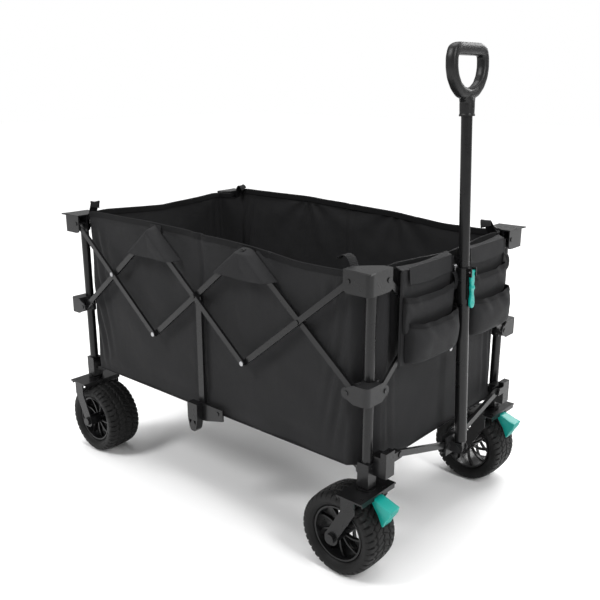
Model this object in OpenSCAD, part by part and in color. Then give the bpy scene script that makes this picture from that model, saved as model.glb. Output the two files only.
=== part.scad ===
// Folding camp wagon: a four-post frame on scissor sides and ends, a hung fabric basket,
// two fixed rear wheels, two front casters with foot brakes and a telescopic pull handle.
// The long axis is X with the pull handle at +X, Y runs across and Z is up from the ground.

/* [Scissor frame] */
// Bar length from a post's pivot to the first crossing
corner_half = 180; // [170:1:190]
// Bar length from a crossing to the next node on the long sides
side_half = 200; // [170:1:240]
// Bar length from a crossing to the middle node on the short ends
end_half = 147.5; // [125:0.5:180]
// Slope of every bar with the wagon open
open_angle = 39.2; // [37:0.1:42]
// Height of the top pivots above the ground
top_pivot_z = 647; // [600:1:700]
// Depth of a bar
bar_depth = 13; // [11:0.5:15]
// Thickness of a side bar
side_bar_t = 6.6; // [5:0.1:7]
// Thickness of an end bar
end_bar_t = 5.6; // [4.5:0.1:6]
// Space between bars that pass each other
bar_gap = 1; // [0.8:0.1:1.4]
// Radius of a rivet's shank
rivet_r = 3; // [2.5:0.1:3.5]
// Radius of a rivet's head
rivet_head_r = 5.4; // [4.5:0.1:6]
// Height of a rivet's head
rivet_head_h = 1.8; // [1.2:0.1:2]

/* [Posts] */
// Radius of a corner post
post_r = 11; // [10:0.5:12]
// Wall of a corner post
post_wall = 1.5; // [1:0.1:2.5]
// Height of a post's lower end above the ground
post_foot_z = 206; // [204:1:212]
// Distance along X from a side pivot to its post's axis
post_out_x = 25.5; // [24:0.5:28]
// Distance along Y from an end pivot to its post's axis
post_out_y = 18.2; // [17.8:0.1:20]
// Height of the plastic corner block on a post's top
corner_block_h = 44; // [38:1:48]
// Height of a sliding bracket
slider_h = 40; // [34:1:48]

/* [Wheels] */
// Radius of a wheel
wheel_r = 94; // [80:1:94]
// Width of a tyre
tyre_w = 96; // [70:1:98]
// Radius of the rim that the tyre sits on
rim_r = 62; // [50:1:66]
// Distance from a front post's axis to its wheel's axle
trail = 44; // [36:1:50]
// Distance from a rear post's axis to its wheel's axle
rear_trail = 37; // [30:1:50]
// Radius of an axle
axle_r = 6; // [5:0.5:8]

/* [Forks] */
// Space between the two arms of a fork
fork_gap = 112; // [106:1:118]
// Thickness of a fork's sheet metal
fork_t = 4; // [3:0.5:5]
// Length of the crown plate
crown_len = 64; // [56:1:68]
// Height of the crown plate's top above the ground
crown_z = 201; // [200:0.5:202]

/* [Handle] */
// Radius of the lower handle tube
handle_r = 13.5; // [12:0.5:15]
// Radius of the upper handle tube
inner_tube_r = 11.6; // [9:0.1:11.9]
// Wall of both handle tubes
handle_wall = 1.6; // [1.2:0.1:2]
// Length of the lower tube from the hinge pin to its top
lower_tube_len = 410; // [380:1:440]
// Length from the hinge pin to the top of the grip, pulled out
handle_len = 872; // [840:1:900]
// Lean of the parked handle towards the basket
handle_lean = 2.6; // [2.4:0.1:2.7]

/* [Basket] */
// Height of the basket's underside above the ground
basket_z = 243; // [240:1:250]
// Height of the basket's rim above the ground
basket_top_z = 672; // [640:1:690]
// Thickness of the fabric walls
wall = 3; // [2:0.5:5]
// Thickness of the folding floor mat
mat_t = 7; // [5:0.5:10]

/* [Hidden] */

$fn = 48;
run_gap = 0.08;                 // radial clearance of a pin that turns
slide_gap = 0.3;                // clearance of parts that slide or pass
fit = 0.05;                     // space between two pieces that are pressed or bolted together
eps = 0.01;

// ---- Scissor geometry. A corner unit has halves corner_half and side_half (or end_half)
c0 = cos(open_angle);
s0 = sin(open_angle);
lug_x = (corner_half + 2 * side_half) * c0;
lug_y = (corner_half + end_half) * c0;
slider_z = top_pivot_z - 2 * corner_half * s0;
cross_z = top_pivot_z - corner_half * s0;
side_cross_x = 2 * side_half * c0;
side_node_x = side_half * c0;
side_low_z = cross_z - side_half * s0;
side_high_z = cross_z + side_half * s0;
end_cross_y = end_half * c0;
end_low_z = cross_z - end_half * s0;
end_high_z = cross_z + end_half * s0;

post_x = lug_x + post_out_x;
post_y = lug_y + post_out_y;
post_top_z = top_pivot_z + 20;

// ---- Layers: layer 0 is the outermost bar. A position is the middle of the bar
side_pitch = side_bar_t + bar_gap;
end_pitch = end_bar_t + bar_gap - 0.1;
end_layer_1 = post_x + post_r + end_bar_t / 2 + slide_gap + 0.4;
end_layer_0 = end_layer_1 + end_pitch;
side_layer_2 = post_y + post_r + side_bar_t / 2 + 6;
function side_layer(i) = side_layer_2 + (2 - i) * side_pitch;
function end_layer(i) = i == 0 ? end_layer_0 : end_layer_1;

plate_t = 3;                                    // wall of the corner blocks and sliders
side_plate_in = side_layer(0) + side_bar_t / 2 + rivet_head_h - 1;
side_plate_back = side_layer_2 - side_bar_t / 2 - slide_gap;
end_plate_in = end_layer_0 + end_bar_t / 2 + 0.6;
lug_r = 12;                                     // radius of a rounded lug
cap_t = 3.2;                                    // thickness of the cap on a corner block
cap_tip = 4;                                    // how far its tip stands past the block

// ---- Foot of a post. The folded angle is where the fold stops
folded_angle = 75.6;
slider_floor = top_pivot_z - 2 * corner_half * sin(folded_angle) - slider_h / 2;
clamp_z = post_foot_z + 2;
clamp_h = 54;
clamp = post_r + 3;
foot_top_z = basket_z + 22;                     // glide foot under a centre post
foot_low_z = 2 * wheel_r + 5;
stem_r = 7;
seat_h = post_foot_z - slide_gap - crown_z;

// ---- Wheels and forks
pedal_w = 28;
pedal_pin_x = crown_len / 2 - 12;               // forward of the post's axis
pedal_pin_z = crown_z - 14;
axle_z = wheel_r;
front_axle_x = post_x - trail;
rear_axle_x = rear_trail - post_x;
arm_in = fork_gap / 2;
arm_out = arm_in + fork_t;
crown_half = arm_out + 1;
hub_r = 17;                                     // radius of a fork's end round the axle

// ---- Yoke and handle
yoke_x = end_plate_in + plate_t + 9;            // middle plane of the two links
link_t = 8;
link_depth = 14;
yoke_lug_y = 217;
yoke_lug_z = 272;
yoke_node_y = 21;
yoke_drop = 55.5;
yoke_node_z = yoke_lug_z - yoke_drop;
coupling_h = 44;
coupling_web_w = 40;
coupling_front = yoke_x + link_t / 2 + 1 + plate_t;
hinge_x = coupling_front + handle_r + 5.5;
hinge_z = yoke_node_z - 3;
pin_r = 4;
eye_w = 16;                                     // width of the handle's hinge eye
ear_r = 12;                                     // radius of the hinge's ears
lever_w = 16;
lever_len = 77;
lever_pin = [20.5, lower_tube_len - 2];         // forward of the tube's axis, up from the hinge
collar_len = 36;
grip_h = 117;
grip_w = 144;
grip_t = 24;
tube_end = handle_len - grip_h - 6;

// ---- Floor frame: four ribs run from under the side pivots to a disc at the middle
rib_depth = 12;
rib_t = 12;
hub_t = 7.4;
rib_ear_out = rib_t / 2 + 1 + plate_t;          // outside of the ears that hold a rib
rib_ear_len = 30;                               // from the rib's pivot back into the clamp
rib_z = basket_z - hub_t - 2 * slide_gap - rib_depth / 2;
rib_angle = atan2(lug_y, lug_x);
hub_pin_r = 95;                                 // from the middle to the ribs' inner pivots
rib_len = norm([lug_x, lug_y]) - hub_pin_r;
hub_disc_r = 105;

// ---- Basket: straight sides, with its corners cut back to clear the posts
basket_x = end_layer_1 - end_bar_t / 2 - rivet_head_h - 2.8;
basket_y = side_layer_2 - side_bar_t / 2 - rivet_head_h - 2.2;
corner_cut = basket_x + basket_y - post_x - post_y + 2 * clamp + 2;
hang_z = [basket_top_z - 10, 440];              // top and bottom of a hanging pocket
pouch_z = [596, 528];                           // mouths of its two pouches
pouch_out = [18, 42];                           // how far each stands out
hang_x = end_layer_0 + end_bar_t / 2 + rivet_head_h + 1.6;   // back of the hanging pockets

// ---- The row's origin stands under the middle of the whole box
front_reach = hinge_x + handle_r;
rear_reach = wheel_r - rear_axle_x;
mid_x = (front_reach - rear_reach) / 2;

black = [0.06, 0.06, 0.065];
plastic = [0.11, 0.11, 0.115];
steel = [0.7, 0.7, 0.72];
teal = [0, 0.62, 0.56];
cloth = [0.13, 0.13, 0.135];

module row_frame() translate([-mid_x, 0, 0]) children();

// ---- Shared shapes

// A cylinder along Y or X between two stations
module rod_y(r, y0, y1) translate([0, y0, 0]) rotate([-90, 0, 0]) cylinder(r = r, h = y1 - y0);
module rod_x(r, x0, x1) translate([x0, 0, 0]) rotate([0, 90, 0]) cylinder(r = r, h = x1 - x0);

// A straight flat bar in the XZ plane, centred on y = 0, from p to q with holes at its pivots
module flat_bar(p, q, pivots, depth, t, hole = rivet_r + run_gap) {
    d = q - p;
    translate([p.x, 0, p.y]) rotate([0, -atan2(d.y, d.x), 0]) difference() {
        union() {
            translate([0, -t / 2, -depth / 2]) cube([norm(d), t, depth]);
            for (x = [0, norm(d)]) translate([x, 0, 0]) rod_y(depth / 2, -t / 2, t / 2);
        }
        for (e = pivots) translate([norm(e - p), 0, 0]) rod_y(hole, -t, t);
    }
}

// A rivet along Y through stations y0 to y1, its heads outside them
module rivet_y(y0, y1, head = rivet_head_r) {
    union() {
        rod_y(rivet_r, y0 - eps, y1 + eps);
        rod_y(head, y0 - rivet_head_h, y0);
        rod_y(head, y1, y1 + rivet_head_h);
    }
}

// The same rivet along X
module rivet_x(x0, x1) rotate([0, 0, -90]) rivet_y(x0, x1);

// Turns an XZ-plane part, made with its thickness on Y, to stand in the YZ plane
module to_end() rotate([0, 0, 90]) children();

// ---- Side bars. side is -1 on the left and 1 on the right. The rivets of a node go with one bar
function side_top(sx) = [sx * lug_x, top_pivot_z];
function side_slide(sx) = [sx * lug_x, slider_z];
function side_cross(n) = [n * side_cross_x, cross_z];
function side_node(sx, high) = [sx * side_node_x, high ? side_high_z : side_low_z];

module side_bar(side, layer, p, q, pivots, rivets) {
    row_frame() color(black) {
        translate([0, side * side_layer(layer), 0])
            flat_bar(p, q, pivots, bar_depth, side_bar_t);
    }
    // each rivet is [place, outermost layer, innermost layer]
    row_frame() color(steel) for (r = rivets) translate([r[0].x, 0, r[0].y]) {
        outer = side_layer(r[1]) + side_bar_t / 2;
        inner = side_layer(r[2]) - side_bar_t / 2;
        if (side > 0) rivet_y(inner - run_gap, outer + run_gap);
        else rivet_y(-outer - run_gap, -inner + run_gap);
    }
}

module bar_a1(side) side_bar(side, 0, side_top(-1), side_node(-1, false),
    [side_top(-1), side_cross(-1), side_node(-1, false)],
    [[side_cross(-1), 0, 1], [side_node(-1, false), 0, 1]]);
module bar_b1(side) side_bar(side, 1, side_slide(-1), side_node(-1, true),
    [side_slide(-1), side_cross(-1), side_node(-1, true)], []);
module bar_a2(side) side_bar(side, 0, side_node(-1, true), side_node(1, false),
    [side_node(-1, true), side_cross(0), side_node(1, false)],
    [[side_node(-1, true), 0, 1], [side_node(1, false), 0, 1]]);
module bar_b2(side) side_bar(side, 1, side_node(-1, false), side_node(1, true),
    [side_node(-1, false), side_cross(0), side_node(1, true)], []);
module bar_a3(side) side_bar(side, 2, side_node(1, true), side_slide(1),
    [side_node(1, true), side_cross(1), side_slide(1)],
    [[side_node(1, true), 1, 2], [side_cross(1), 1, 2]]);
module bar_b3(side) side_bar(side, 1, side_node(1, false), side_top(1),
    [side_node(1, false), side_cross(1), side_top(1)], []);

module bar_a1_left() bar_a1(-1);
module bar_b1_left() bar_b1(-1);
module bar_a2_left() bar_a2(-1);
module bar_b2_left() bar_b2(-1);
module bar_a3_left() bar_a3(-1);
module bar_b3_left() bar_b3(-1);
module bar_a1_right() bar_a1(1);
module bar_b1_right() bar_b1(1);
module bar_a2_right() bar_a2(1);
module bar_b2_right() bar_b2(1);
module bar_a3_right() bar_a3(1);
module bar_b3_right() bar_b3(1);

// ---- End bars, drawn in the plane of the end with Y across. end is -1 at the rear, 1 in front
end_top_l = [-lug_y, top_pivot_z];
end_top_r = [lug_y, top_pivot_z];
end_slide_l = [-lug_y, slider_z];
end_slide_r = [lug_y, slider_z];
end_cross_l = [-end_cross_y, cross_z];
end_cross_r = [end_cross_y, cross_z];
end_low = [0, end_low_z];
end_high = [0, end_high_z];

module end_bar(end, layer, p, q, pivots, rivets) {
    row_frame() color(black) translate([end * end_layer(layer), 0, 0])
        to_end() flat_bar(p, q, pivots, bar_depth, end_bar_t);
    row_frame() color(steel) for (e = rivets) translate([0, e.x, e.y]) {
        outer = end_layer(0) + end_bar_t / 2 + run_gap;
        inner = end_layer(1) - end_bar_t / 2 - run_gap;
        if (end > 0) rivet_x(inner, outer);
        else rivet_x(-outer, -inner);
    }
}

module bar_c1(end) end_bar(end, 0, end_top_l, end_low, [end_top_l, end_cross_l, end_low],
    [end_cross_l, end_low]);
module bar_d1(end) end_bar(end, 1, end_slide_l, end_high, [end_slide_l, end_cross_l, end_high], []);
module bar_c2(end) end_bar(end, 0, end_high, end_slide_r, [end_high, end_cross_r, end_slide_r],
    [end_high, end_cross_r]);
module bar_d2(end) end_bar(end, 1, end_low, end_top_r, [end_low, end_cross_r, end_top_r], []);

module bar_c1_front() bar_c1(1);
module bar_d1_front() bar_d1(1);
module bar_c2_front() bar_c2(1);
module bar_d2_front() bar_d2(1);
module bar_c1_rear() bar_c1(-1);
module bar_d1_rear() bar_d1(-1);
module bar_c2_rear() bar_c2(-1);
module bar_d2_rear() bar_d2(-1);

// ---- Corner posts. Each corner is drawn for the front right and mirrored into place
module at_corner(sx, sy) mirror([sx < 0 ? 1 : 0, 0, 0]) mirror([0, sy < 0 ? 1 : 0, 0]) children();

// A plate in the XZ plane, from the lug round a pivot at x = 0 to its root at x1. A slider's plate
// narrows to its lug, and a corner block's is square with its lower corner rounded
module lug_plate(x1, z0, h, pin_z, slides) {
    z1 = z0 + h;
    outline = slides
        ? [[0, pin_z - lug_r], [x1 - 12, z0], [x1, z0], [x1, z1], [x1 - 12, z1], [0, pin_z + lug_r]]
        : [[0, z0], [x1, z0], [x1, z1], [-lug_r, z1], [-lug_r, z0 + lug_r], [0, z0 + lug_r]];
    union() {
        translate([0, plate_t, 0]) rotate([90, 0, 0]) linear_extrude(plate_t) polygon(outline);
        translate([0, 0, slides ? pin_z : z0 + lug_r]) rod_y(lug_r, 0, plate_t);
    }
}

// A rounded corner block: plates outside and inside the bar ends, joined to a core round the post
module lug_housing(z0, h, pin_z, bore, slides = false) {
    core = post_r + 4;
    inner_x = end_layer_1 - end_bar_t / 2 - slide_gap;
    side_out = side_plate_in + plate_t;
    end_out = end_plate_in + plate_t;
    difference() {
        union() {
            translate([post_x, post_y, z0]) cylinder(r = core, h = h);
            for (y = [side_plate_in, side_plate_back - plate_t]) translate([lug_x, y, 0])
                lug_plate(post_x + 4 - lug_x, z0, h, pin_z, slides);
            translate([post_x - 4, post_y, z0]) cube([14, side_out - post_y, h]);
            translate([end_plate_in + plate_t, lug_y, 0]) to_end()
                lug_plate(post_y + 4 - lug_y, z0, h, pin_z, slides);
            translate([inner_x, lug_y, 0]) to_end() lug_plate(lug_r, z0, h, pin_z, slides);
            translate([post_x, post_y - 4, z0]) cube([end_out - post_x, 14, h]);
            // the rounded outer corner
            translate([post_x + 4, post_y + 4, z0]) cube([end_out - post_x - 16, side_out - post_y - 4, h]);
            translate([post_x + 4, post_y + 4, z0]) cube([end_out - post_x - 4, side_out - post_y - 16, h]);
            translate([end_out - 12, side_out - 12, z0]) cylinder(r = 12, h = h);
        }
        translate([post_x, post_y, z0 - 1]) cylinder(r = bore, h = h + 2);
        translate([lug_x, 0, pin_z]) rod_y(rivet_r + run_gap, side_plate_back - 9, side_out + 1);
        translate([0, lug_y, pin_z]) rod_x(rivet_r + run_gap, inner_x - 9, end_out + 1);
        // room for the end bar's rounded end beside the post
        translate([0, lug_y, pin_z]) rod_x(bar_depth / 2 + 1.2, inner_x, end_plate_in);
    }
}

// The two pins that a corner block and a slider both carry, at height z
module corner_pins(z) {
    inner_x = end_layer_1 - end_bar_t / 2 - slide_gap - plate_t;
    translate([lug_x, 0, z]) rivet_y(side_plate_back - plate_t - fit, side_plate_in + plate_t + fit);
    translate([0, lug_y, z]) rivet_x(inner_x - fit, end_plate_in + plate_t + fit);
}

// The cap over a corner block, with its pointed tip over the corner
module corner_cap(z) {
    reach = end_plate_in + plate_t;
    side_reach = side_plate_in + plate_t;
    translate([0, 0, z]) linear_extrude(cap_t) polygon([
        [lug_x - lug_r, side_plate_back - plate_t], [post_x - 16, post_y - 10], [post_x - 10, post_y - 16],
        [post_x + 6, lug_y - lug_r], [reach, lug_y - lug_r], [reach + 1, side_reach - 16],
        [reach + cap_tip, side_reach + cap_tip], [post_x, side_reach + 1], [lug_x - lug_r, side_reach]]);
}

// Clamp round the post's foot, with the yoke's box on the front posts and the floor rib's ears
module foot_clamp(front) {
    difference() {
        union() {
            translate([post_x - clamp, post_y - clamp, clamp_z]) cube([2 * clamp, 2 * clamp, clamp_h]);
            if (front) yoke_box();
            else translate([post_x, lug_y - 8, clamp_z]) cube([24, post_y - lug_y + 8, clamp_h - 8]);
            translate([lug_x, lug_y, rib_z]) rotate([0, 0, rib_angle])
                for (y = [-rib_ear_out, rib_ear_out - plate_t]) union() {
                    rod_y(rib_depth / 2, y, y + plate_t);
                    translate([0, y, -rib_depth / 2]) cube([rib_ear_len, plate_t, rib_depth]);
                }
        }
        translate([post_x, post_y, 0]) cylinder(r = post_r + fit, h = top_pivot_z);
        if (front) translate([0, yoke_lug_y, yoke_lug_z])
            rod_x(pin_r + run_gap, yoke_x - 20, yoke_x + 20);
        translate([lug_x, lug_y, rib_z]) rotate([0, 0, rib_angle]) rod_y(rivet_r + run_gap, -20, 20);
    }
}

// Box in front of the post with two ears for a yoke link
module yoke_box() {
    x1 = yoke_x + link_t / 2 + 1 + plate_t;
    back = end_plate_in + plate_t + rivet_head_h + 1;
    x0 = post_x + post_out_y + 15.8 - 2 * clamp;    // clear of the basket's cut corner
    translate([x0, lug_y - 16, clamp_z + 26]) cube([x1 - x0, 30, slider_floor - clamp_z - 27]);
    translate([back, lug_y - 16, clamp_z + 26]) cube([x1 - back, 30, 56]);
    for (x = [yoke_x - link_t / 2 - 1 - plate_t, yoke_x + link_t / 2 + 1]) translate([x, 0, yoke_lug_z]) {
        translate([0, yoke_lug_y, -link_depth / 2 - 2]) cube([plate_t, lug_y - 14 - yoke_lug_y, link_depth + 4]);
        translate([0, yoke_lug_y, 0]) rod_x(link_depth / 2 + 2, 0, plate_t);
    }
}

module post(sx, sy) {
    block_z = top_pivot_z - corner_block_h / 2 - 2;
    stem = stem_r + run_gap;
    row_frame() at_corner(sx, sy) {
        color(black) difference() {
            translate([post_x, post_y, post_foot_z]) cylinder(r = post_r, h = block_z + corner_block_h - post_foot_z);
            translate([post_x, post_y, post_foot_z + 10]) cylinder(r = post_r - post_wall, h = corner_block_h + 700);
            translate([post_x, post_y, post_foot_z - 1]) cylinder(r = stem, h = 20);
        }
        color(plastic) lug_housing(block_z, corner_block_h, top_pivot_z, post_r + fit);
        color(plastic) corner_cap(block_z + corner_block_h + fit);
        color(steel) corner_pins(top_pivot_z);
        color(black) foot_clamp(sx > 0);
        color(steel) {
            if (sx > 0) translate([0, yoke_lug_y, yoke_lug_z]) yoke_pin();
            translate([lug_x, lug_y, rib_z]) rotate([0, 0, rib_angle])
                rivet_y(-rib_ear_out - fit, rib_ear_out + fit);
        }
    }
}

// A headed pin through a link and the plates on both sides of it
module yoke_pin() {
    out = link_t / 2 + 1 + plate_t + fit;
    rod_x(pin_r, yoke_x - out - eps, yoke_x + out + eps);
    for (x = [yoke_x - out - 2, yoke_x + out]) rod_x(pin_r + 3, x, x + 2);
}

module slider(sx, sy) {
    row_frame() at_corner(sx, sy) {
        color(plastic) lug_housing(slider_z - slider_h / 2, slider_h, slider_z, post_r + slide_gap, true);
        color(steel) corner_pins(slider_z);
    }
}

module post_front_left() post(1, -1);
module post_front_right() post(1, 1);
module post_rear_left() post(-1, -1);
module post_rear_right() post(-1, 1);
module slider_front_left() slider(1, -1);
module slider_front_right() slider(1, 1);
module slider_rear_left() slider(-1, -1);
module slider_rear_right() slider(-1, 1);

// ---- Centre posts: a flat bar from the middle crossing down to a glide foot and its side tab
module centre_post(side) {
    row_frame() mirror([0, side < 0 ? 1 : 0, 0]) {
        color(black) translate([0, side_layer_2, 0])
            flat_bar([0, foot_top_z - 20], [0, cross_z], [[0, cross_z], [0, foot_top_z - 12]], 18, side_bar_t);
        color(steel) translate([0, 0, cross_z])
            rivet_y(side_layer_2 - side_bar_t / 2 - run_gap, side_layer(0) + side_bar_t / 2 + run_gap);
        color(plastic) glide_foot();
    }
}

module glide_foot() {
    y0 = side_layer_2 + side_bar_t / 2 + fit;
    difference() {
        union() {
            translate([-30, y0, basket_z - 18]) cube([34, 20, 40]);
            translate([0, y0 + 20, 0]) rotate([90, 0, 0]) linear_extrude(20) polygon([
                [-30, basket_z - 17], [-24, foot_low_z + 6], [-19, foot_low_z], [-7, foot_low_z],
                [-2, foot_low_z + 6], [4, basket_z - 17]]);
            translate([0, y0 + 4, 0]) rotate([90, 0, 0]) linear_extrude(4) polygon([
                [0, foot_top_z], [0, basket_z - 24], [22, basket_z - 20], [76, basket_z - 6],
                [76, basket_z + 22]]);
        }
        translate([58, 0, basket_z + 9]) rod_y(rivet_r + run_gap, y0 - 1, y0 + 9);
        // truss windows in the foot
        for (p = [[-25, 1], [-1, -1]]) translate([0, y0 + 21, 0]) rotate([90, 0, 0]) linear_extrude(8)
            polygon([[p[0], basket_z - 22], [p[0] + 9 * p[1], basket_z - 22], [p[0] + 3 * p[1], basket_z - 34]]);
    }
    translate([58, 0, basket_z + 9]) union() {
        rod_y(rivet_r, y0 - 0.5, y0 + 4 + fit + eps);
        rod_y(rivet_head_r, y0 + 4 + fit, y0 + 4 + fit + rivet_head_h);
    }
}

module centre_post_left() centre_post(-1);
module centre_post_right() centre_post(1);

// ---- Forks and wheels. Both are drawn on the right and mirrored to the left
module fork(sx, sy) {
    axle_x = sx > 0 ? front_axle_x : rear_axle_x;
    px = sx * post_x;
    row_frame() mirror([0, sy < 0 ? 1 : 0, 0]) translate([0, post_y, 0]) {
        color(black) crown(px, sx > 0);
        color(black) for (side = [-1, 1]) translate([0, side > 0 ? arm_out : -arm_in, 0])
            fork_arm(px, axle_x);
        color(steel) translate([axle_x, 0, axle_z]) union() {
            rod_y(axle_r, -arm_out - fit - eps, arm_out + fit + eps);
            for (y = [-arm_out - fit - 7, arm_out + fit]) rod_y(axle_r + 5, y, y + 7);
        }
    }
}

// Crown plate with a folded lip all round, the swivel seat and its stem
module crown(px, front) {
    difference() {
        union() {
            translate([px - crown_len / 2, -crown_half, crown_z - fork_t])
                cube([crown_len, 2 * crown_half, fork_t]);
            for (x = [-crown_len / 2, crown_len / 2 - 2.5])
                translate([px + x, -crown_half + 4, crown_z - 11]) cube([2.5, 2 * crown_half - 8, 11]);
            translate([px, 0, crown_z - 1]) cylinder(r = 19, h = seat_h + 1);
            translate([px, 0, crown_z - 1]) cylinder(r = stem_r, h = seat_h + 13);
            // cheeks that carry the brake pedal
            if (front) for (y = [-pedal_w / 2 - 4, pedal_w / 2 + 1])
                translate([px + crown_len / 2 - 6, y, pedal_pin_z]) union() {
                    translate([-12, 0, 0]) cube([12, 3, crown_z - fork_t - pedal_pin_z + 1]);
                    translate([-6, 0, 0]) rod_y(6, 0, 3);
                }
        }
        if (front) {
            translate([px + pedal_pin_x, 0, pedal_pin_z]) rod_y(rivet_r + run_gap, -pedal_w, pedal_w);
            // the lip is open in front of the pedal
            translate([px + pedal_pin_x, -pedal_w / 2 - 1, 0]) cube([20, pedal_w + 2, crown_z - fork_t]);
        }
    }
}

// A tapered arm from the crown down to the axle
module fork_arm(px, axle_x) {
    lean = sign(axle_x - px);
    difference() {
        union() {
            rotate([90, 0, 0]) linear_extrude(fork_t) polygon([
                [px - 17 + 4 * lean, crown_z - fork_t], [px + 17 + 4 * lean, crown_z - fork_t],
                [px + 17 + 4 * lean, crown_z - 34], [axle_x + hub_r * 0.97, axle_z + 4],
                [axle_x - hub_r * 0.97, axle_z + 4], [px - 17 + 4 * lean, crown_z - 34]]);
            translate([axle_x, 0, axle_z]) rod_y(hub_r, -fork_t, 0);
        }
        translate([axle_x, 0, axle_z]) rod_y(axle_r + run_gap, -fork_t - 1, 1);
    }
}

module fork_front_left() fork(1, -1);
module fork_front_right() fork(1, 1);
module fork_rear_left() fork(-1, -1);
module fork_rear_right() fork(-1, 1);

module at_wheel(sx, sy) row_frame() translate([sx > 0 ? front_axle_x : rear_axle_x, sy * post_y, axle_z])
    rotate([90, 0, 0]) children();

// A wide round-shouldered tyre with three grooves
tyre_h = wheel_r - rim_r;
bead_h = 0.22 * tyre_h;
function crown_drop(t) = 0.5 * tyre_h * pow(abs(t), 3.2);
module tyre(sx, sy) {
    steps = 10;
    w = tyre_w / 2;
    at_wheel(sx, sy) color(black) rotate_extrude($fn = 96) difference() {
        polygon(concat([[rim_r, -w + 9], [rim_r + bead_h, -w + 2]],
            [for (i = [-steps:steps]) [wheel_r - crown_drop(i / steps), w * i / steps]],
            [[rim_r + bead_h, w - 2], [rim_r, w - 9]]));
        for (y = [-24, 0, 24]) translate([wheel_r - 3, y - 2]) square([4, 4]);
    }
}

module tyre_front_left() tyre(1, -1);
module tyre_front_right() tyre(1, 1);
module tyre_rear_left() tyre(-1, -1);
module tyre_rear_right() tyre(-1, 1);

// Rim: a barrel, a hub on the axle and two dished sets of curved spokes
module rim(sx, sy) {
    w = tyre_w / 2 - 9;
    spokes = 9;
    at_wheel(sx, sy) color(plastic) difference() {
        union() {
            difference() {
                translate([0, 0, -w]) cylinder(r = rim_r - fit, h = 2 * w, $fn = 96);
                translate([0, 0, -w - 1]) cylinder(r = rim_r - 4, h = 2 * w + 2, $fn = 96);
            }
            translate([0, 0, -arm_in + 0.6]) cylinder(r = hub_r - 3, h = 2 * arm_in - 1.2);
            for (z = [-w + 12, w - 20]) translate([0, 0, z]) linear_extrude(8)
                for (i = [0:spokes - 1]) rotate(i * 360 / spokes) spoke_shape();
        }
        translate([0, 0, -arm_in]) cylinder(r = axle_r + run_gap, h = 2 * arm_in);
    }
}

// One spoke: an arc from the hub to the barrel
module spoke_shape() {
    bend = rim_r * 0.8;
    intersection() {
        difference() {
            translate([rim_r / 2, bend]) circle(r = bend + 8);
            translate([rim_r / 2, bend]) circle(r = bend + 4);
        }
        translate([hub_r - 6, -rim_r / 2]) square([rim_r - hub_r + 4, rim_r]);
    }
}

module rim_front_left() rim(1, -1);
module rim_front_right() rim(1, 1);
module rim_rear_left() rim(-1, -1);
module rim_rear_right() rim(-1, 1);

// ---- Brake pedals: an arm that hangs from the crown's front edge and ends in a foot tread
module brake_pedal(sy) {
    px = post_x + pedal_pin_x;
    row_frame() mirror([0, sy < 0 ? 1 : 0, 0]) translate([0, post_y, 0]) {
        color(teal) difference() {
            union() {
                translate([px, 0, pedal_pin_z]) rod_y(7, -pedal_w / 2, pedal_w / 2);
                translate([0, pedal_w / 2, 0]) rotate([90, 0, 0]) linear_extrude(pedal_w) polygon([
                    [px - 2, pedal_pin_z + 6], [px + 12, pedal_pin_z + 6], [px + 26, pedal_pin_z + 1],
                    [px + 38, pedal_pin_z - 4], [px + 54, pedal_pin_z - 8], [px + 50, pedal_pin_z - 21],
                    [px + 42, pedal_pin_z - 33], [px + 34, pedal_pin_z - 50], [px + 30, pedal_pin_z - 50],
                    [px + 21, pedal_pin_z - 26], [px + 6, pedal_pin_z - 6]]);
            }
            translate([px, 0, pedal_pin_z]) rod_y(rivet_r + run_gap, -pedal_w, pedal_w);
        }
        color(steel) translate([px, 0, pedal_pin_z])
            rod_y(rivet_r, -pedal_w / 2 - 4, pedal_w / 2 + 4);
    }
}

module brake_pedal_left() brake_pedal(-1);
module brake_pedal_right() brake_pedal(1);

// ---- Yoke: two links that meet at the handle's coupling
module yoke_link(sy) {
    row_frame() color(black) translate([yoke_x, 0, 0]) to_end()
        flat_bar([sy * yoke_lug_y, yoke_lug_z], [sy * yoke_node_y, yoke_node_z],
            [[sy * yoke_lug_y, yoke_lug_z], [sy * yoke_node_y, yoke_node_z]],
            link_depth, link_t, pin_r + run_gap);
}
module yoke_link_left() yoke_link(-1);
module yoke_link_right() yoke_link(1);

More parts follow.
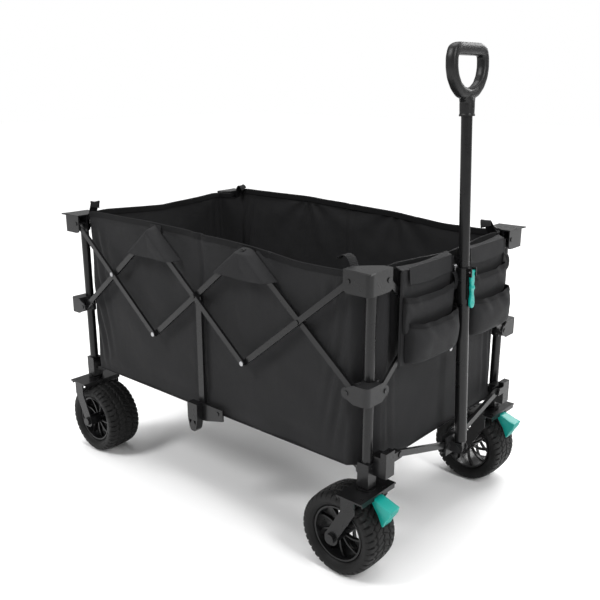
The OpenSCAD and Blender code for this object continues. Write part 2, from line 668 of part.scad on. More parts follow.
// Two plates over the links' ends, a spacer between them and two ears for the handle
module yoke_coupling() {
    half = link_t / 2 + 1;
    plate_y = yoke_node_y + link_depth / 2 + 2;
    row_frame() {
        color(plastic) difference() {
            union() {
                for (x = [yoke_x - half - plate_t, yoke_x + half])
                    translate([x, -plate_y, yoke_node_z - coupling_h / 2]) cube([plate_t, 2 * plate_y, coupling_h]);
                // the web that joins the plates lies under the links' ends
                translate([yoke_x - half - 1, -coupling_web_w / 2, yoke_node_z - coupling_h / 2])
                    cube([2 * half + 2, coupling_web_w, coupling_h / 2 - link_depth / 2 - 2]);
                for (y = [-eye_w / 2 - 0.5 - plate_t, eye_w / 2 + 0.5]) union() {
                    translate([coupling_front - 1, y, hinge_z - ear_r])
                        cube([hinge_x - coupling_front + 1, plate_t, 2 * ear_r]);
                    translate([hinge_x, 0, hinge_z]) rod_y(ear_r, y, y + plate_t);
                }
            }
            for (y = [-yoke_node_y, yoke_node_y]) translate([0, y, yoke_node_z])
                rod_x(pin_r + run_gap, yoke_x - 20, yoke_x + 20);
            translate([hinge_x, 0, hinge_z]) rod_y(pin_r + run_gap, -30, 30);
        }
        color(steel) translate([0, -yoke_node_y, yoke_node_z]) yoke_pin();
        color(steel) translate([hinge_x, 0, hinge_z]) {
            out = eye_w / 2 + 0.5 + plate_t + fit;
            union() {
                rod_y(pin_r, -out - eps, out + eps);
                for (y = [-out - 2, out]) rod_y(pin_r + 3, y, y + 2);
            }
        }
    }
}

// ---- Handle. It is drawn upright from its hinge pin and then leaned back
module handle_frame() row_frame() translate([hinge_x, 0, hinge_z]) rotate([0, -handle_lean, 0]) children();

module handle_lower_tube() handle_frame() {
    color(black) difference() {
        union() {
            translate([0, 0, 16]) cylinder(r = handle_r, h = lower_tube_len - 16);
            translate([-8, -eye_w / 2, 0]) cube([16, eye_w, 18]);
            rod_y(8, -eye_w / 2, eye_w / 2);
        }
        translate([0, 0, 26]) cylinder(r = handle_r - handle_wall, h = lower_tube_len);
        rod_y(pin_r + run_gap, -eye_w, eye_w);
    }
    // clamp housing at the tube's mouth with the lever's cheeks
    color(plastic) difference() {
        union() {
            translate([0, 0, lower_tube_len - 72]) cylinder(r = handle_r + 3, h = 78);
            translate([0, -lever_w / 2 - 3.4, lower_tube_len - 62]) cube([16, lever_w + 6.8, 68]);
            for (y = [-lever_w / 2 - 3.4, lever_w / 2 + 0.4])
                translate([12, y, lower_tube_len - 12]) cube([13, 3, 18]);
        }
        cylinder(r = handle_r + fit, h = lower_tube_len + fit);
        translate([0, 0, lower_tube_len - 1]) cylinder(r = inner_tube_r + slide_gap, h = 20);
        translate([lever_pin.x, 0, lever_pin.y]) rod_y(2 + run_gap, -20, 20);
    }
}

module handle_upper_tube() handle_frame() color(black) difference() {
    translate([0, 0, lower_tube_len - 60]) cylinder(r = inner_tube_r, h = tube_end - lower_tube_len + 60);
    translate([0, 0, lower_tube_len - 61]) cylinder(r = inner_tube_r - handle_wall, h = 700);
}

module handle_grip() handle_frame() color(plastic) {
    z0 = handle_len - grip_h;
    difference() {
        translate([0, 0, z0 - collar_len]) cylinder(r = inner_tube_r + 3.4, h = collar_len);
        translate([0, 0, z0 - collar_len - 1]) cylinder(r = inner_tube_r + fit, h = tube_end + fit - z0 + collar_len + 1);
    }
    // the D: a rounded outline with a rounded opening
    difference() {
        translate([-grip_t / 2, 0, 0]) rotate([90, 0, 90]) linear_extrude(grip_t) difference() {
            offset(r = 10, $fn = 32) polygon([
                [-14, z0 + 10], [14, z0 + 10], [grip_w / 2 - 16, z0 + 44], [grip_w / 2 - 10, z0 + 66],
                [grip_w / 2 - 10, handle_len - 26], [grip_w / 2 - 26, handle_len - 10],
                [26 - grip_w / 2, handle_len - 10], [10 - grip_w / 2, handle_len - 26],
                [10 - grip_w / 2, z0 + 66], [16 - grip_w / 2, z0 + 44]]);
            offset(r = 8, $fn = 32) polygon([
                [-20, z0 + 36], [20, z0 + 36], [grip_w / 2 - 27, z0 + 58], [grip_w / 2 - 27, handle_len - 36],
                [grip_w / 2 - 33, handle_len - 32], [33 - grip_w / 2, handle_len - 32],
                [27 - grip_w / 2, handle_len - 36], [27 - grip_w / 2, z0 + 58]]);
        }
    }
}

module handle_lever() handle_frame() {
    x0 = lever_pin.x - 3;
    color(teal) difference() {
        union() {
            translate([lever_pin.x, 0, lever_pin.y]) rod_y(3.4, -lever_w / 2, lever_w / 2);
            translate([x0, -lever_w / 2, lever_pin.y - lever_len + 8]) cube([5.5, lever_w, lever_len - 8]);
            translate([0, 0, lever_pin.y - lever_len + 8]) rod_x(lever_w / 2 + 1.5, x0, x0 + 5.5);
        }
        translate([lever_pin.x, 0, lever_pin.y]) rod_y(2 + run_gap, -20, 20);
    }
    color(steel) translate([lever_pin.x, 0, lever_pin.y]) rod_y(2, -lever_w / 2 - 3.4, lever_w / 2 + 3.4);
}

// ---- Floor frame
module floor_rib(sx, sy) row_frame() at_corner(sx, sy) color(black)
    translate([lug_x, lug_y, rib_z]) rotate([0, 0, rib_angle])
        flat_bar([-rib_len, 0], [0, 0], [[0, 0], [-rib_len, 0]], rib_depth, rib_t);

module floor_rib_front_left() floor_rib(1, -1);
module floor_rib_front_right() floor_rib(1, 1);
module floor_rib_rear_left() floor_rib(-1, -1);
module floor_rib_rear_right() floor_rib(-1, 1);

// Disc over the ribs' inner ends; the front left rib is pinned in its ears
module floor_hub() {
    top = rib_z + rib_depth / 2 + slide_gap;
    row_frame() {
        color(plastic) difference() {
            union() {
                translate([0, 0, top]) cylinder(r = hub_disc_r, h = hub_t);
                rotate([0, 0, -rib_angle]) translate([hub_pin_r, 0, rib_z])
                    for (y = [-rib_t / 2 - 1 - plate_t, rib_t / 2 + 1]) union() {
                        rod_y(rib_depth / 2, y, y + plate_t);
                        translate([-rib_depth / 2, y, 0]) cube([rib_depth, plate_t, top - rib_z + 1]);
                    }
            }
            rotate([0, 0, -rib_angle]) translate([hub_pin_r, 0, rib_z]) rod_y(rivet_r + run_gap, -20, 20);
            translate([0, 0, top - 1]) cylinder(r = 20, h = hub_t + 2);
        }
        color(steel) rotate([0, 0, -rib_angle]) translate([hub_pin_r, 0, rib_z])
            rod_y(rivet_r, -rib_t / 2 - 1 - plate_t, rib_t / 2 + 1 + plate_t);
    }
}

// ---- Fabric
function cut_plan(x, y, cut) = [[x - cut, y], [x, y - cut], [x, cut - y], [x - cut, -y],
    [cut - x, -y], [-x, cut - y], [-x, y - cut], [cut - x, y]];

module basket() row_frame() color(cloth) difference() {
    translate([0, 0, basket_z]) linear_extrude(basket_top_z - basket_z)
        polygon(cut_plan(basket_x, basket_y, corner_cut));
    translate([0, 0, basket_z + wall]) linear_extrude(basket_top_z)
        polygon(cut_plan(basket_x - wall, basket_y - wall, corner_cut - 0.6 * wall));
}

module floor_mat() row_frame() color(cloth) translate([0, 0, basket_z + wall + slide_gap])
    linear_extrude(mat_t) polygon(cut_plan(basket_x - wall - 4, basket_y - wall - 4, corner_cut));

// An organiser: a back panel that hangs from the basket's rim, with a flat pouch above a box pouch
module pocket(y0, y1) row_frame() color(cloth) {
    panel = 2.5;
    x1 = hang_x + panel;
    difference() {
        union() {
            translate([basket_x + slide_gap, y0, hang_z[0] - panel])
                cube([x1 - basket_x - slide_gap, y1 - y0, panel]);
            translate([hang_x, y0, hang_z[1]]) cube([panel, y1 - y0, hang_z[0] - hang_z[1]]);
            translate([hang_x, y0, pouch_z[1]]) cube([pouch_out[0], y1 - y0, pouch_z[0] - pouch_z[1]]);
            translate([hang_x, y0 + 10, hang_z[1]]) cube([pouch_out[1], y1 - y0 - 10, pouch_z[1] - hang_z[1]]);
        }
        translate([x1, y0 + panel, pouch_z[1] + panel])
            cube([pouch_out[0] - 2 * panel, y1 - y0 - 2 * panel, 100]);
        translate([hang_x + pouch_out[0], y0 + 10 + panel, hang_z[1] + panel])
            cube([pouch_out[1] - pouch_out[0] - panel, y1 - y0 - 10 - 2 * panel, 100]);
    }
}

module pocket_left() pocket(-212, -24);
module pocket_right() pocket(24, 212);

post_front_left();
post_front_right();
post_rear_left();
post_rear_right();
slider_front_left();
slider_front_right();
slider_rear_left();
slider_rear_right();
bar_a1_left();
bar_b1_left();
bar_a2_left();
bar_b2_left();
bar_a3_left();
bar_b3_left();
bar_a1_right();
bar_b1_right();
bar_a2_right();
bar_b2_right();
bar_a3_right();
bar_b3_right();
bar_c1_front();
bar_d1_front();
bar_c2_front();
bar_d2_front();
bar_c1_rear();
bar_d1_rear();
bar_c2_rear();
bar_d2_rear();
centre_post_left();
centre_post_right();
fork_front_left();
fork_front_right();
fork_rear_left();
fork_rear_right();
tyre_front_left();
tyre_front_right();
tyre_rear_left();
tyre_rear_right();
rim_front_left();
rim_front_right();
rim_rear_left();
rim_rear_right();
brake_pedal_left();
brake_pedal_right();
yoke_link_left();
yoke_link_right();
yoke_coupling();
handle_lower_tube();
handle_upper_tube();
handle_grip();
handle_lever();
floor_rib_front_left();
floor_rib_front_right();
floor_rib_rear_left();
floor_rib_rear_right();
floor_hub();
basket();
floor_mat();
pocket_left();
pocket_right();
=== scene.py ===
import bpy
import math
import numpy as np
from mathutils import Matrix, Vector


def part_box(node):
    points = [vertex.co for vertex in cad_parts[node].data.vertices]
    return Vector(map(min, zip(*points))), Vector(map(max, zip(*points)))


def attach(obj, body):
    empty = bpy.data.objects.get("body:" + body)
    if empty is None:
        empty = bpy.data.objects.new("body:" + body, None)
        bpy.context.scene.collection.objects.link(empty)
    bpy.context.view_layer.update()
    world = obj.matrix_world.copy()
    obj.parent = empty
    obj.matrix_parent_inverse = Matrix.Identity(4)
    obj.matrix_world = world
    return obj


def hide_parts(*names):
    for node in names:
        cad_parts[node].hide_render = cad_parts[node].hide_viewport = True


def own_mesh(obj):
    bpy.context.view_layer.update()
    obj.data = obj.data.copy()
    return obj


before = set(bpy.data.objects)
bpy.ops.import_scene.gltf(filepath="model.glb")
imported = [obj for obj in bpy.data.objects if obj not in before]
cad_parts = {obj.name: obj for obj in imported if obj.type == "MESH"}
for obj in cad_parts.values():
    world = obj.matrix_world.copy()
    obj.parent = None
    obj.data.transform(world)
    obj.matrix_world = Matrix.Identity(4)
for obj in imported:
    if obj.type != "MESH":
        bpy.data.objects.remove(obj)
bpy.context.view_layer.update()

# ---------------------------------------------------------------- places, from the CAD
BASKET_LOW, BASKET_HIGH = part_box("basket")
MID_X = (BASKET_LOW.x + BASKET_HIGH.x) / 2
HALF_X = (BASKET_HIGH.x - BASKET_LOW.x) / 2
HALF_Y = BASKET_HIGH.y
CORNER_CUT = 0.050
FLOOR_Z = BASKET_LOW.z
BAR_R = 0.0065
TOP_NODE = (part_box("bar_a2_left")[0].x + BAR_R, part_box("bar_a2_left")[1].z - BAR_R)
BAR_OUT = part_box("bar_a2_left")[0].y                 # outermost face of the left bars and their rivets
BAR_ANGLE = math.radians(39.2)                       # a scissor bar's slope when the wagon is open
NODE_X = 0.155                                       # top nodes, each way from the middle post
LUG_X, LUG_Y = 0.44947, 0.2538                       # the bars' pivots on the posts, from the middle
SIDE_RIVETS = ("y", 0.3109, 0.2888)                  # where the rivets' outer and inner heads begin
END_RIVETS = ("x", 0.49885, 0.48645)
HANDLE_LEAN = math.radians(2.6)                      # the upright handle's top leans back
HUB_HOLE = 0.060                                     # the floor boards stop this far from the middle


# ---------------------------------------------------------------- shader maths
class Value:
    """A socket that takes part in Python arithmetic."""

    def __init__(self, tree, socket):
        self.tree, self.socket = tree, socket

    def math(self, operation, *others):
        node = self.tree.nodes.new("ShaderNodeMath")
        node.operation = operation
        for at, item in enumerate((self,) + others):
            if isinstance(item, Value):
                self.tree.links.new(item.socket, node.inputs[at])
            else:
                node.inputs[at].default_value = item
        return Value(self.tree, node.outputs[0])

    def __add__(self, other): return self.math("ADD", other)
    def __radd__(self, other): return self.math("ADD", other)
    def __sub__(self, other): return self.math("SUBTRACT", other)
    def __mul__(self, other): return self.math("MULTIPLY", other)
    def __rmul__(self, other): return self.math("MULTIPLY", other)
    def __gt__(self, other): return self.math("GREATER_THAN", other)
    def __lt__(self, other): return self.math("LESS_THAN", other)
    def __rsub__(self, other): return (self * -1.0) + other

    def sine(self): return self.math("SINE")
    def size(self): return self.math("ABSOLUTE")
    def clamped(self): return self.math("MINIMUM", 1.0).math("MAXIMUM", 0.0)


class Finish:
    """One material, built from sockets."""

    def __init__(self, name, colour, roughness, **fixed):
        self.material = bpy.data.materials.new(name)
        self.material.use_nodes = True
        self.tree = self.material.node_tree
        self.shader = self.tree.nodes["Principled BSDF"]
        self.shader.inputs["Base Color"].default_value = (*colour, 1)
        self.shader.inputs["Roughness"].default_value = roughness
        for socket, number in fixed.items():
            self.shader.inputs[socket.replace("_", " ")].default_value = number
        place = self.add("ShaderNodeTexCoord")
        self.place = place.outputs["Object"]
        parts = self.add("ShaderNodeSeparateXYZ", Vector=self.place)
        self.x, self.y, self.z = (Value(self.tree, parts.outputs[i]) for i in range(3))

    def add(self, kind, settings=None, **values):
        node = self.tree.nodes.new(kind)
        for key, setting in (settings or {}).items():
            setattr(node, key, setting)
        for key, item in values.items():
            socket = node.inputs[key.replace("_", " ")]
            if isinstance(item, Value):
                item = item.socket
            if isinstance(item, bpy.types.NodeSocket):
                self.tree.links.new(item, socket)
            else:
                socket.default_value = item
        return node

    def noise(self, scale, detail=2.0, stretch=(1, 1, 1)):
        place = self.add("ShaderNodeMapping", Vector=self.place, Scale=stretch).outputs[0]
        cloud = self.add("ShaderNodeTexNoise", Vector=place, Scale=scale, Detail=detail)
        return Value(self.tree, cloud.outputs["Fac"])

    def colour_between(self, amount, dark, light):
        mix = self.add("ShaderNodeMix", {"data_type": "RGBA"})
        mix.inputs[6].default_value = (*dark, 1)
        mix.inputs[7].default_value = (*light, 1)
        self.tree.links.new(amount.socket, mix.inputs[0])
        return mix.outputs[2]

    def colour_over(self, amount, under, light):
        mix = self.add("ShaderNodeMix", {"data_type": "RGBA"})
        self.tree.links.new(under, mix.inputs[6])
        mix.inputs[7].default_value = (*light, 1)
        self.tree.links.new(amount.socket, mix.inputs[0])
        return mix.outputs[2]

    def feed(self, socket, item):
        self.tree.links.new(item.socket if isinstance(item, Value) else item, self.shader.inputs[socket])

    def bump(self, height, distance, strength=1.0):
        node = self.add("ShaderNodeBump", Height=height, Distance=distance, Strength=strength)
        self.feed("Normal", node.outputs[0])


def powder_coat(name, rivets=None):
    """Black powder coat with a fine orange peel.

    rivets names an axis and two distances from the middle: metal shows past the first and inside the second.
    """
    f = Finish(name, (0.006, 0.006, 0.0065), 0.32,
               Specular_IOR_Level=0.22, Coat_Weight=0.10, Coat_Roughness=0.10)
    wear = f.noise(38.0, 4.0)
    peel = f.noise(900.0, 1.0)
    base = f.colour_between(wear, (0.004, 0.004, 0.0043), (0.009, 0.009, 0.0094))
    rough = wear * 0.14 + 0.22
    if rivets:
        axis, edge, inner = rivets
        reach = (f.y if axis == "y" else f.x + (-MID_X)).size()
        steel = ((reach > edge) + (reach < inner)).clamped()
        base = f.colour_over(steel, base, (0.34, 0.34, 0.35))
        f.feed("Metallic", steel)
        rough = rough + steel * 0.04
    f.feed("Base Color", base)
    f.feed("Roughness", rough)
    f.bump(peel, 0.00012, 0.5)
    return f.material


def moulded(name, dark, light, roughness, grain=1400.0, depth=0.00012, **fixed):
    f = Finish(name, dark, roughness, **fixed)
    cloud = f.noise(24.0, 3.0)
    f.feed("Base Color", f.colour_between(cloud, dark, light))
    f.feed("Roughness", f.noise(160.0, 2.0) * 0.16 + (roughness - 0.08))
    f.bump(f.noise(grain, 1.0), depth, 0.6)
    return f.material


def woven(name, across, dark=(0.011, 0.011, 0.0115), light=(0.021, 0.021, 0.022), pitch=0.0013):
    """Plain-weave polyester. across names the two axes that the yarns follow."""
    f = Finish(name, dark, 0.8, Specular_IOR_Level=0.12, Sheen_Weight=0.02, Sheen_Roughness=0.4)
    axes = {"x": f.x, "y": f.y, "z": f.z}
    u, v = (axes[a] * (2 * math.pi / pitch) for a in across)
    yarn = u.sine() * v.sine() * 0.5 + 0.5
    heather = f.noise(700.0, 2.0)
    streak = f.noise(60.0, 2.0, (1, 1, 0.15))
    cloud = f.noise(7.0, 3.0)
    shade = (yarn * 0.25 + heather * 0.35 + streak * 0.2 + cloud * 0.3).clamped()
    f.feed("Base Color", f.colour_between(shade, dark, light))
    f.feed("Roughness", cloud * 0.14 + 0.62)
    f.bump(yarn * 0.6 + heather * 0.4 + f.noise(45.0, 3.0) * 3.0, 0.0006, 0.55)
    return f.material


def webbing_cloth(name, along):
    """Ribbed tape whose ribs lie across the axis named."""
    f = Finish(name, (0.006, 0.006, 0.006), 0.7,
               Specular_IOR_Level=0.12, Sheen_Weight=0.02, Sheen_Roughness=0.4)
    rib = ({"x": f.x, "y": f.y, "z": f.z}[along] * (2 * math.pi / 0.0022)).sine() * 0.5 + 0.5
    fuzz = f.noise(500.0, 2.0)
    worn = (rib * 0.5 + fuzz * 0.5).clamped()
    f.feed("Base Color", f.colour_between(worn, (0.0035, 0.0035, 0.004), (0.011, 0.011, 0.0115)))
    f.feed("Roughness", fuzz * 0.2 + 0.6)
    f.bump(rib + fuzz * 0.5, 0.0004, 0.6)
    return f.material


def tread_rubber():
    f = Finish("tyre_rubber", (0.006, 0.006, 0.006), 0.62, Specular_IOR_Level=0.18)
    dust = f.noise(30.0, 4.0)
    f.feed("Base Color", f.colour_between(dust, (0.004, 0.004, 0.004), (0.010, 0.010, 0.010)))
    f.feed("Roughness", f.noise(210.0, 2.0) * 0.18 + 0.46)
    f.bump(f.noise(650.0, 3.0), 0.0003, 0.5)
    return f.material


def plated_steel():
    f = Finish("plated_steel", (0.5, 0.5, 0.51), 0.3, Metallic=1.0)
    f.feed("Roughness", f.noise(300.0, 2.0) * 0.2 + 0.24)
    f.bump(f.noise(1200.0, 1.0), 0.00005, 0.4)
    return f.material


COAT = powder_coat("powder_coat")
SIDE_BAR = powder_coat("side_bar_coat", SIDE_RIVETS)
END_BAR = powder_coat("end_bar_coat", END_RIVETS)
PLASTIC = moulded("joint_plastic", (0.010, 0.010, 0.0105), (0.018, 0.018, 0.0187), 0.40, Specular_IOR_Level=0.26)
RIM_PLASTIC = moulded("rim_plastic", (0.004, 0.004, 0.0045), (0.009, 0.009, 0.0095), 0.30, Specular_IOR_Level=0.26)
GRIP_PLASTIC = moulded("grip_plastic", (0.005, 0.005, 0.005), (0.011, 0.011, 0.0115), 0.40, 900.0, 0.0001,
                       Specular_IOR_Level=0.26)
TEAL = moulded("teal_plastic", (0.0, 0.235, 0.200), (0.0, 0.300, 0.255), 0.34, Specular_IOR_Level=0.4)
RUBBER = tread_rubber()
STEEL = plated_steel()
SIDE_CLOTH = woven("side_cloth", "xz")
END_CLOTH = woven("end_cloth", "yz")
FLOOR_CLOTH = woven("floor_cloth", "xy")
TAPE_X = webbing_cloth("tape_along_x", "x")
TAPE_Y = webbing_cloth("tape_along_y", "y")
TAPE_Z = webbing_cloth("tape_along_z", "z")


def paint(node, material):
    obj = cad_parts[node]
    if not obj.material_slots:
        obj.data.materials.append(material)
    for slot in obj.material_slots:
        slot.material = material


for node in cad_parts:
    if node.startswith("bar_") and node.endswith(("left", "right")):
        paint(node, SIDE_BAR)
    elif node.startswith("bar_"):
        paint(node, END_BAR)
    elif node.startswith(("slider", "yoke_coupling", "floor_hub")):
        paint(node, PLASTIC)
    elif node.startswith("rim"):
        paint(node, RIM_PLASTIC)
    elif node.startswith(("brake", "handle_lever")):
        paint(node, TEAL)
    else:
        paint(node, COAT)


# ---------------------------------------------------------------- making pieces
def start_clean():
    if bpy.context.object and bpy.context.object.mode != "OBJECT":
        bpy.ops.object.mode_set(mode="OBJECT")
    bpy.ops.object.select_all(action="DESELECT")


def only(obj):
    start_clean()
    obj.select_set(True)
    bpy.context.view_layer.objects.active = obj


def edit_whole(*steps):
    """Runs mesh operators on the whole of the active object."""
    bpy.ops.object.mode_set(mode="EDIT")
    bpy.ops.mesh.select_all(action="SELECT")
    for step in steps:
        step()
    bpy.ops.object.mode_set(mode="OBJECT")


def face_outwards():
    bpy.ops.mesh.normals_make_consistent(inside=False)


def new_piece(name, points, faces):
    mesh = bpy.data.meshes.new(name)
    mesh.from_pydata(points, [], faces)
    obj = bpy.data.objects.new(name, mesh)
    bpy.context.collection.objects.link(obj)
    return obj


def ring_faces(count, rings, loop=False):
    """Quads between count rings of equal point count. loop joins the last ring to the first."""
    return [(i * rings + k, i * rings + (k + 1) % rings,
             (i + 1) % count * rings + (k + 1) % rings, (i + 1) % count * rings + k)
            for i in range(count if loop else count - 1) for k in range(rings)]


def squared(turn, power):
    """Cosine and sine of turn, pushed out towards a square."""
    c, s = np.cos(turn), np.sin(turn)
    return np.sign(c) * np.abs(c) ** power, np.sign(s) * np.abs(s) ** power


def cloth_grid(name, across, up, shape, material, thickness=0.0):
    """A grid whose points go where shape(u, v) says, with u and v from 0 to 1."""
    start_clean()
    bpy.ops.mesh.primitive_grid_add(x_subdivisions=across, y_subdivisions=up, size=1, location=(0, 0, 0))
    obj = bpy.context.object
    obj.name = obj.data.name = name
    flat = np.array([v.co for v in obj.data.vertices])
    u, v = flat[:, 0] + 0.5, flat[:, 1] + 0.5
    obj.data.vertices.foreach_set("co", np.asarray(shape(u, v), float).astype(np.float32).ravel())
    obj.data.update()
    finish_piece(obj, material, thickness)
    return obj


def thicken(obj, thickness):
    """Thickness behind the faces of the active object."""
    wall = obj.modifiers.new("wall", "SOLIDIFY")
    wall.thickness, wall.offset = thickness, -1.0
    bpy.ops.object.modifier_apply(modifier="wall")


def finish_piece(obj, material, thickness=0.0, closed=False, angle=40):
    """Closes seams, gives cloth its thickness, smooths by angle and sets the one material."""
    only(obj)
    if closed:
        edit_whole(lambda: bpy.ops.mesh.remove_doubles(threshold=1e-5), face_outwards)
    if thickness:
        thicken(obj, thickness)
        edit_whole(face_outwards)
    bpy.ops.object.shade_smooth_by_angle(angle=math.radians(angle))
    obj.data.materials.clear()
    obj.data.materials.append(material)


def sweep(name, path, across, material, rings=12, up=(0, 0, 1), square=2.0):
    """A tube along path. across gives the half widths (sideways, along up) at each point."""
    path = np.asarray(path, float)
    count = len(path)
    across = np.broadcast_to(np.asarray(across, float), (count, 2))
    ahead = np.roll(path, -1, 0) - np.roll(path, 1, 0)
    ahead[0], ahead[-1] = path[1] - path[0], path[-1] - path[-2]
    ahead /= np.linalg.norm(ahead, axis=1)[:, None]
    side = np.cross(ahead, np.asarray(up, float))
    side /= np.linalg.norm(side, axis=1)[:, None]
    lift = np.cross(side, ahead)
    c, s = squared(np.linspace(0, 2 * math.pi, rings, endpoint=False), 2 / square)
    points = (path[:, None] + side[:, None] * (across[:, :1] * c)[..., None]
              + lift[:, None] * (across[:, 1:] * s)[..., None])
    faces = ring_faces(count, rings)
    faces.append(tuple(range(rings - 1, -1, -1)))
    faces.append(tuple(range((count - 1) * rings, count * rings)))
    obj = new_piece(name, points.reshape(-1, 3).tolist(), faces)
    finish_piece(obj, material, closed=True)
    return obj


def solid_rings(name, rings, material, edge, angle=32):
    """A closed solid through rings of equal point count, its edges rounded."""
    count, last = len(rings[0]), len(rings) - 1
    faces = ring_faces(len(rings), count)
    faces += [tuple(reversed(range(count))), tuple(last * count + k for k in range(count))]
    obj = new_piece(name, [p for ring in rings for p in ring], faces)
    only(obj)
    edit_whole(face_outwards)
    soft = obj.modifiers.new("soft_edges", "BEVEL")
    soft.width, soft.segments = edge, 3
    soft.limit_method, soft.angle_limit = "ANGLE", math.radians(angle)
    bpy.ops.object.modifier_apply(modifier="soft_edges")
    finish_piece(obj, material, closed=True, angle=angle)
    return obj


def round_pin(name, place, radius, long, material, axis="y", sides=28):
    """A short pin with softened ends, along x or y."""
    start_clean()
    turned = (math.pi / 2, 0, 0) if axis == "y" else (0, math.pi / 2, 0)
    bpy.ops.mesh.primitive_cylinder_add(vertices=sides, radius=radius, depth=long, location=place, rotation=turned)
    pin = bpy.context.object
    pin.name = pin.data.name = name
    edit_whole(lambda: bpy.ops.mesh.bevel(offset=0.0004, segments=2, affect="EDGES"))
    bpy.ops.object.transform_apply(location=True, rotation=True, scale=True)
    finish_piece(pin, material)
    return pin


def smooth_between(x, places, numbers):
    """Numbers at places, joined by a soft curve."""
    fine = np.linspace(places[0], places[-1], 400)
    line = np.interp(fine, places, numbers)
    kernel = np.hanning(31)
    kernel /= kernel.sum()
    padded_line = np.pad(line, 15, mode="edge")
    return np.interp(x, fine, np.convolve(padded_line, kernel, "valid"))


def bump_at(x, centre, width):
    return np.exp(-((x - centre) / width) ** 2)


# ---------------------------------------------------------------- basket walls
WALL_Y, WALL_X = HALF_Y - 0.0012, HALF_X - 0.0012


def wall_path(half_long, half_short, t, rounding=0.016):
    """Plan path of a wall and half of each cut corner, at t from -1 to 1.

    Returns the place along and out, and the path's direction there.
    """
    flat_end, cut_end = half_long - CORNER_CUT, half_long - CORNER_CUT / 2
    corner = half_short - CORNER_CUT / 2
    corners = np.array([(-cut_end, corner), (-flat_end, half_short), (flat_end, half_short), (cut_end, corner)])
    steps = np.concatenate([[0], np.cumsum(np.linalg.norm(np.diff(corners, axis=0), axis=1))])
    fine = np.linspace(0, steps[-1], 1200)
    plan = np.stack([np.interp(fine, steps, corners[:, i]) for i in range(2)], 1)
    reach = max(3, int(rounding / (fine[1] - fine[0])) | 1)
    kernel = np.hanning(reach + 2)
    kernel /= kernel.sum()
    pad = len(kernel) // 2
    ends = np.concatenate([plan[:1] + (plan[:1] - plan[1:2]) * np.arange(pad, 0, -1)[:, None], plan,
                           plan[-1:] + (plan[-1:] - plan[-2:-1]) * np.arange(1, pad + 1)[:, None]])
    soft = np.stack([np.convolve(ends[:, i], kernel, "valid") for i in range(2)], 1)
    at = (t + 1) / 2 * steps[-1]
    tangent = np.gradient(soft, axis=0)
    tangent /= np.linalg.norm(tangent, axis=1)[:, None]
    take = lambda column: np.interp(at, fine, column)
    return take(soft[:, 0]), take(soft[:, 1]), take(tangent[:, 0]), take(tangent[:, 1])


def side_rim(x):
    """Height of a long side's rim."""
    return smooth_between(x, [-0.46, -0.42, -0.30, -0.155, -0.05, 0.155, 0.30, 0.40, 0.46],
                          [0.668, 0.680, 0.680, 0.681, 0.677, 0.669, 0.656, 0.656, 0.662])


def end_rim(y):
    return smooth_between(y, [-0.26, -0.20, 0.0, 0.20, 0.26], [0.664, 0.668, 0.656, 0.668, 0.664])


def soft_noise(a, b, seed, waves=9, low=6.0, high=26.0):
    """Smooth seeded wrinkles over two coordinates."""
    r = np.random.default_rng(seed)
    total = np.zeros_like(a)
    for _ in range(waves):
        k, turn, phase = r.uniform(low, high), r.uniform(0, math.pi), r.uniform(0, 6.28)
        total += np.sin(k * (a * math.cos(turn) + b * math.sin(turn)) * 2 + phase) / waves
    return total


def side_wave(x, z, seed):
    """How far a long side's cloth stands out: folds pulled from the nodes and slack by the posts."""
    d = 0.0045 * soft_noise(x, z, seed) + 0.0015 * soft_noise(x, z, seed + 1, low=24, high=60)
    slack = np.clip((z - FLOOR_Z) / 0.08, 0, 1) * np.clip((0.66 - z) / 0.06, 0, 1)
    for post in (-1, 1):
        near = bump_at(x, post * 0.405, 0.035)
        pitch = 0.034 + 0.004 * np.sin(6 * z + seed)
        d += near * slack * 0.0030 * np.sin(x * 2 * math.pi / pitch + 5 * z)
    for node in (-NODE_X, NODE_X):                     # folds that fan down from the top nodes
        dx, dz = x - node, 0.66 - z
        fan = np.arctan2(dx, dz + 0.03)
        far = np.hypot(dx, dz)
        d += 0.0030 * np.cos(fan * 9 + node) * np.exp(-far / 0.16) * (z < 0.66)
    seam = np.abs(x)
    d -= 0.0035 * np.exp(-(seam / 0.007) ** 2)         # sewn seam by the middle post
    d += 0.0022 * np.exp(-((seam - 0.022) / 0.012) ** 2) * np.sin(9 * z + 1)
    d -= 0.004 * bump_at(z, 0.275, 0.02) * np.sin(14 * x + seed)
    return np.clip(d - 0.002, -0.013, 0.0022)


def end_wave(y, z, seed):
    d = 0.0045 * soft_noise(y, z, seed) + 0.0014 * soft_noise(y, z, seed + 1, low=24, high=60)
    slack = np.clip((z - FLOOR_Z) / 0.08, 0, 1) * np.clip((0.66 - z) / 0.06, 0, 1)
    for post in (-1, 1):
        d += bump_at(y, post * 0.215, 0.03) * slack * 0.0026 * np.sin(y * 2 * math.pi / 0.031 + 6 * z)
    d -= 0.004 * bump_at(z, 0.36, 0.09) * (1 - (y / 0.25) ** 2)
    return np.clip(d - 0.002, -0.014, 0.0018)


def side_wall(name, side, body, seed):
    """side is -1 on the left. The outer cloth, one piece from corner seam to corner seam."""
    def shape(u, v):
        along, out, tx, tn = wall_path(WALL_X, WALL_Y, 2 * u - 1)
        z = FLOOR_Z + 0.0006 + v * (side_rim(along) - FLOOR_Z)
        d = side_wave(along, z, seed) * np.clip((WALL_X - CORNER_CUT * 0.8 - np.abs(along)) / 0.02, 0, 1)
        turned = (along - tn * d, out + tx * d)
        return np.stack([MID_X + turned[0], side * turned[1], z], 1)
    obj = cloth_grid(name, 300, 110, shape, SIDE_CLOTH, 0.0016)
    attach(obj, body)
    return obj


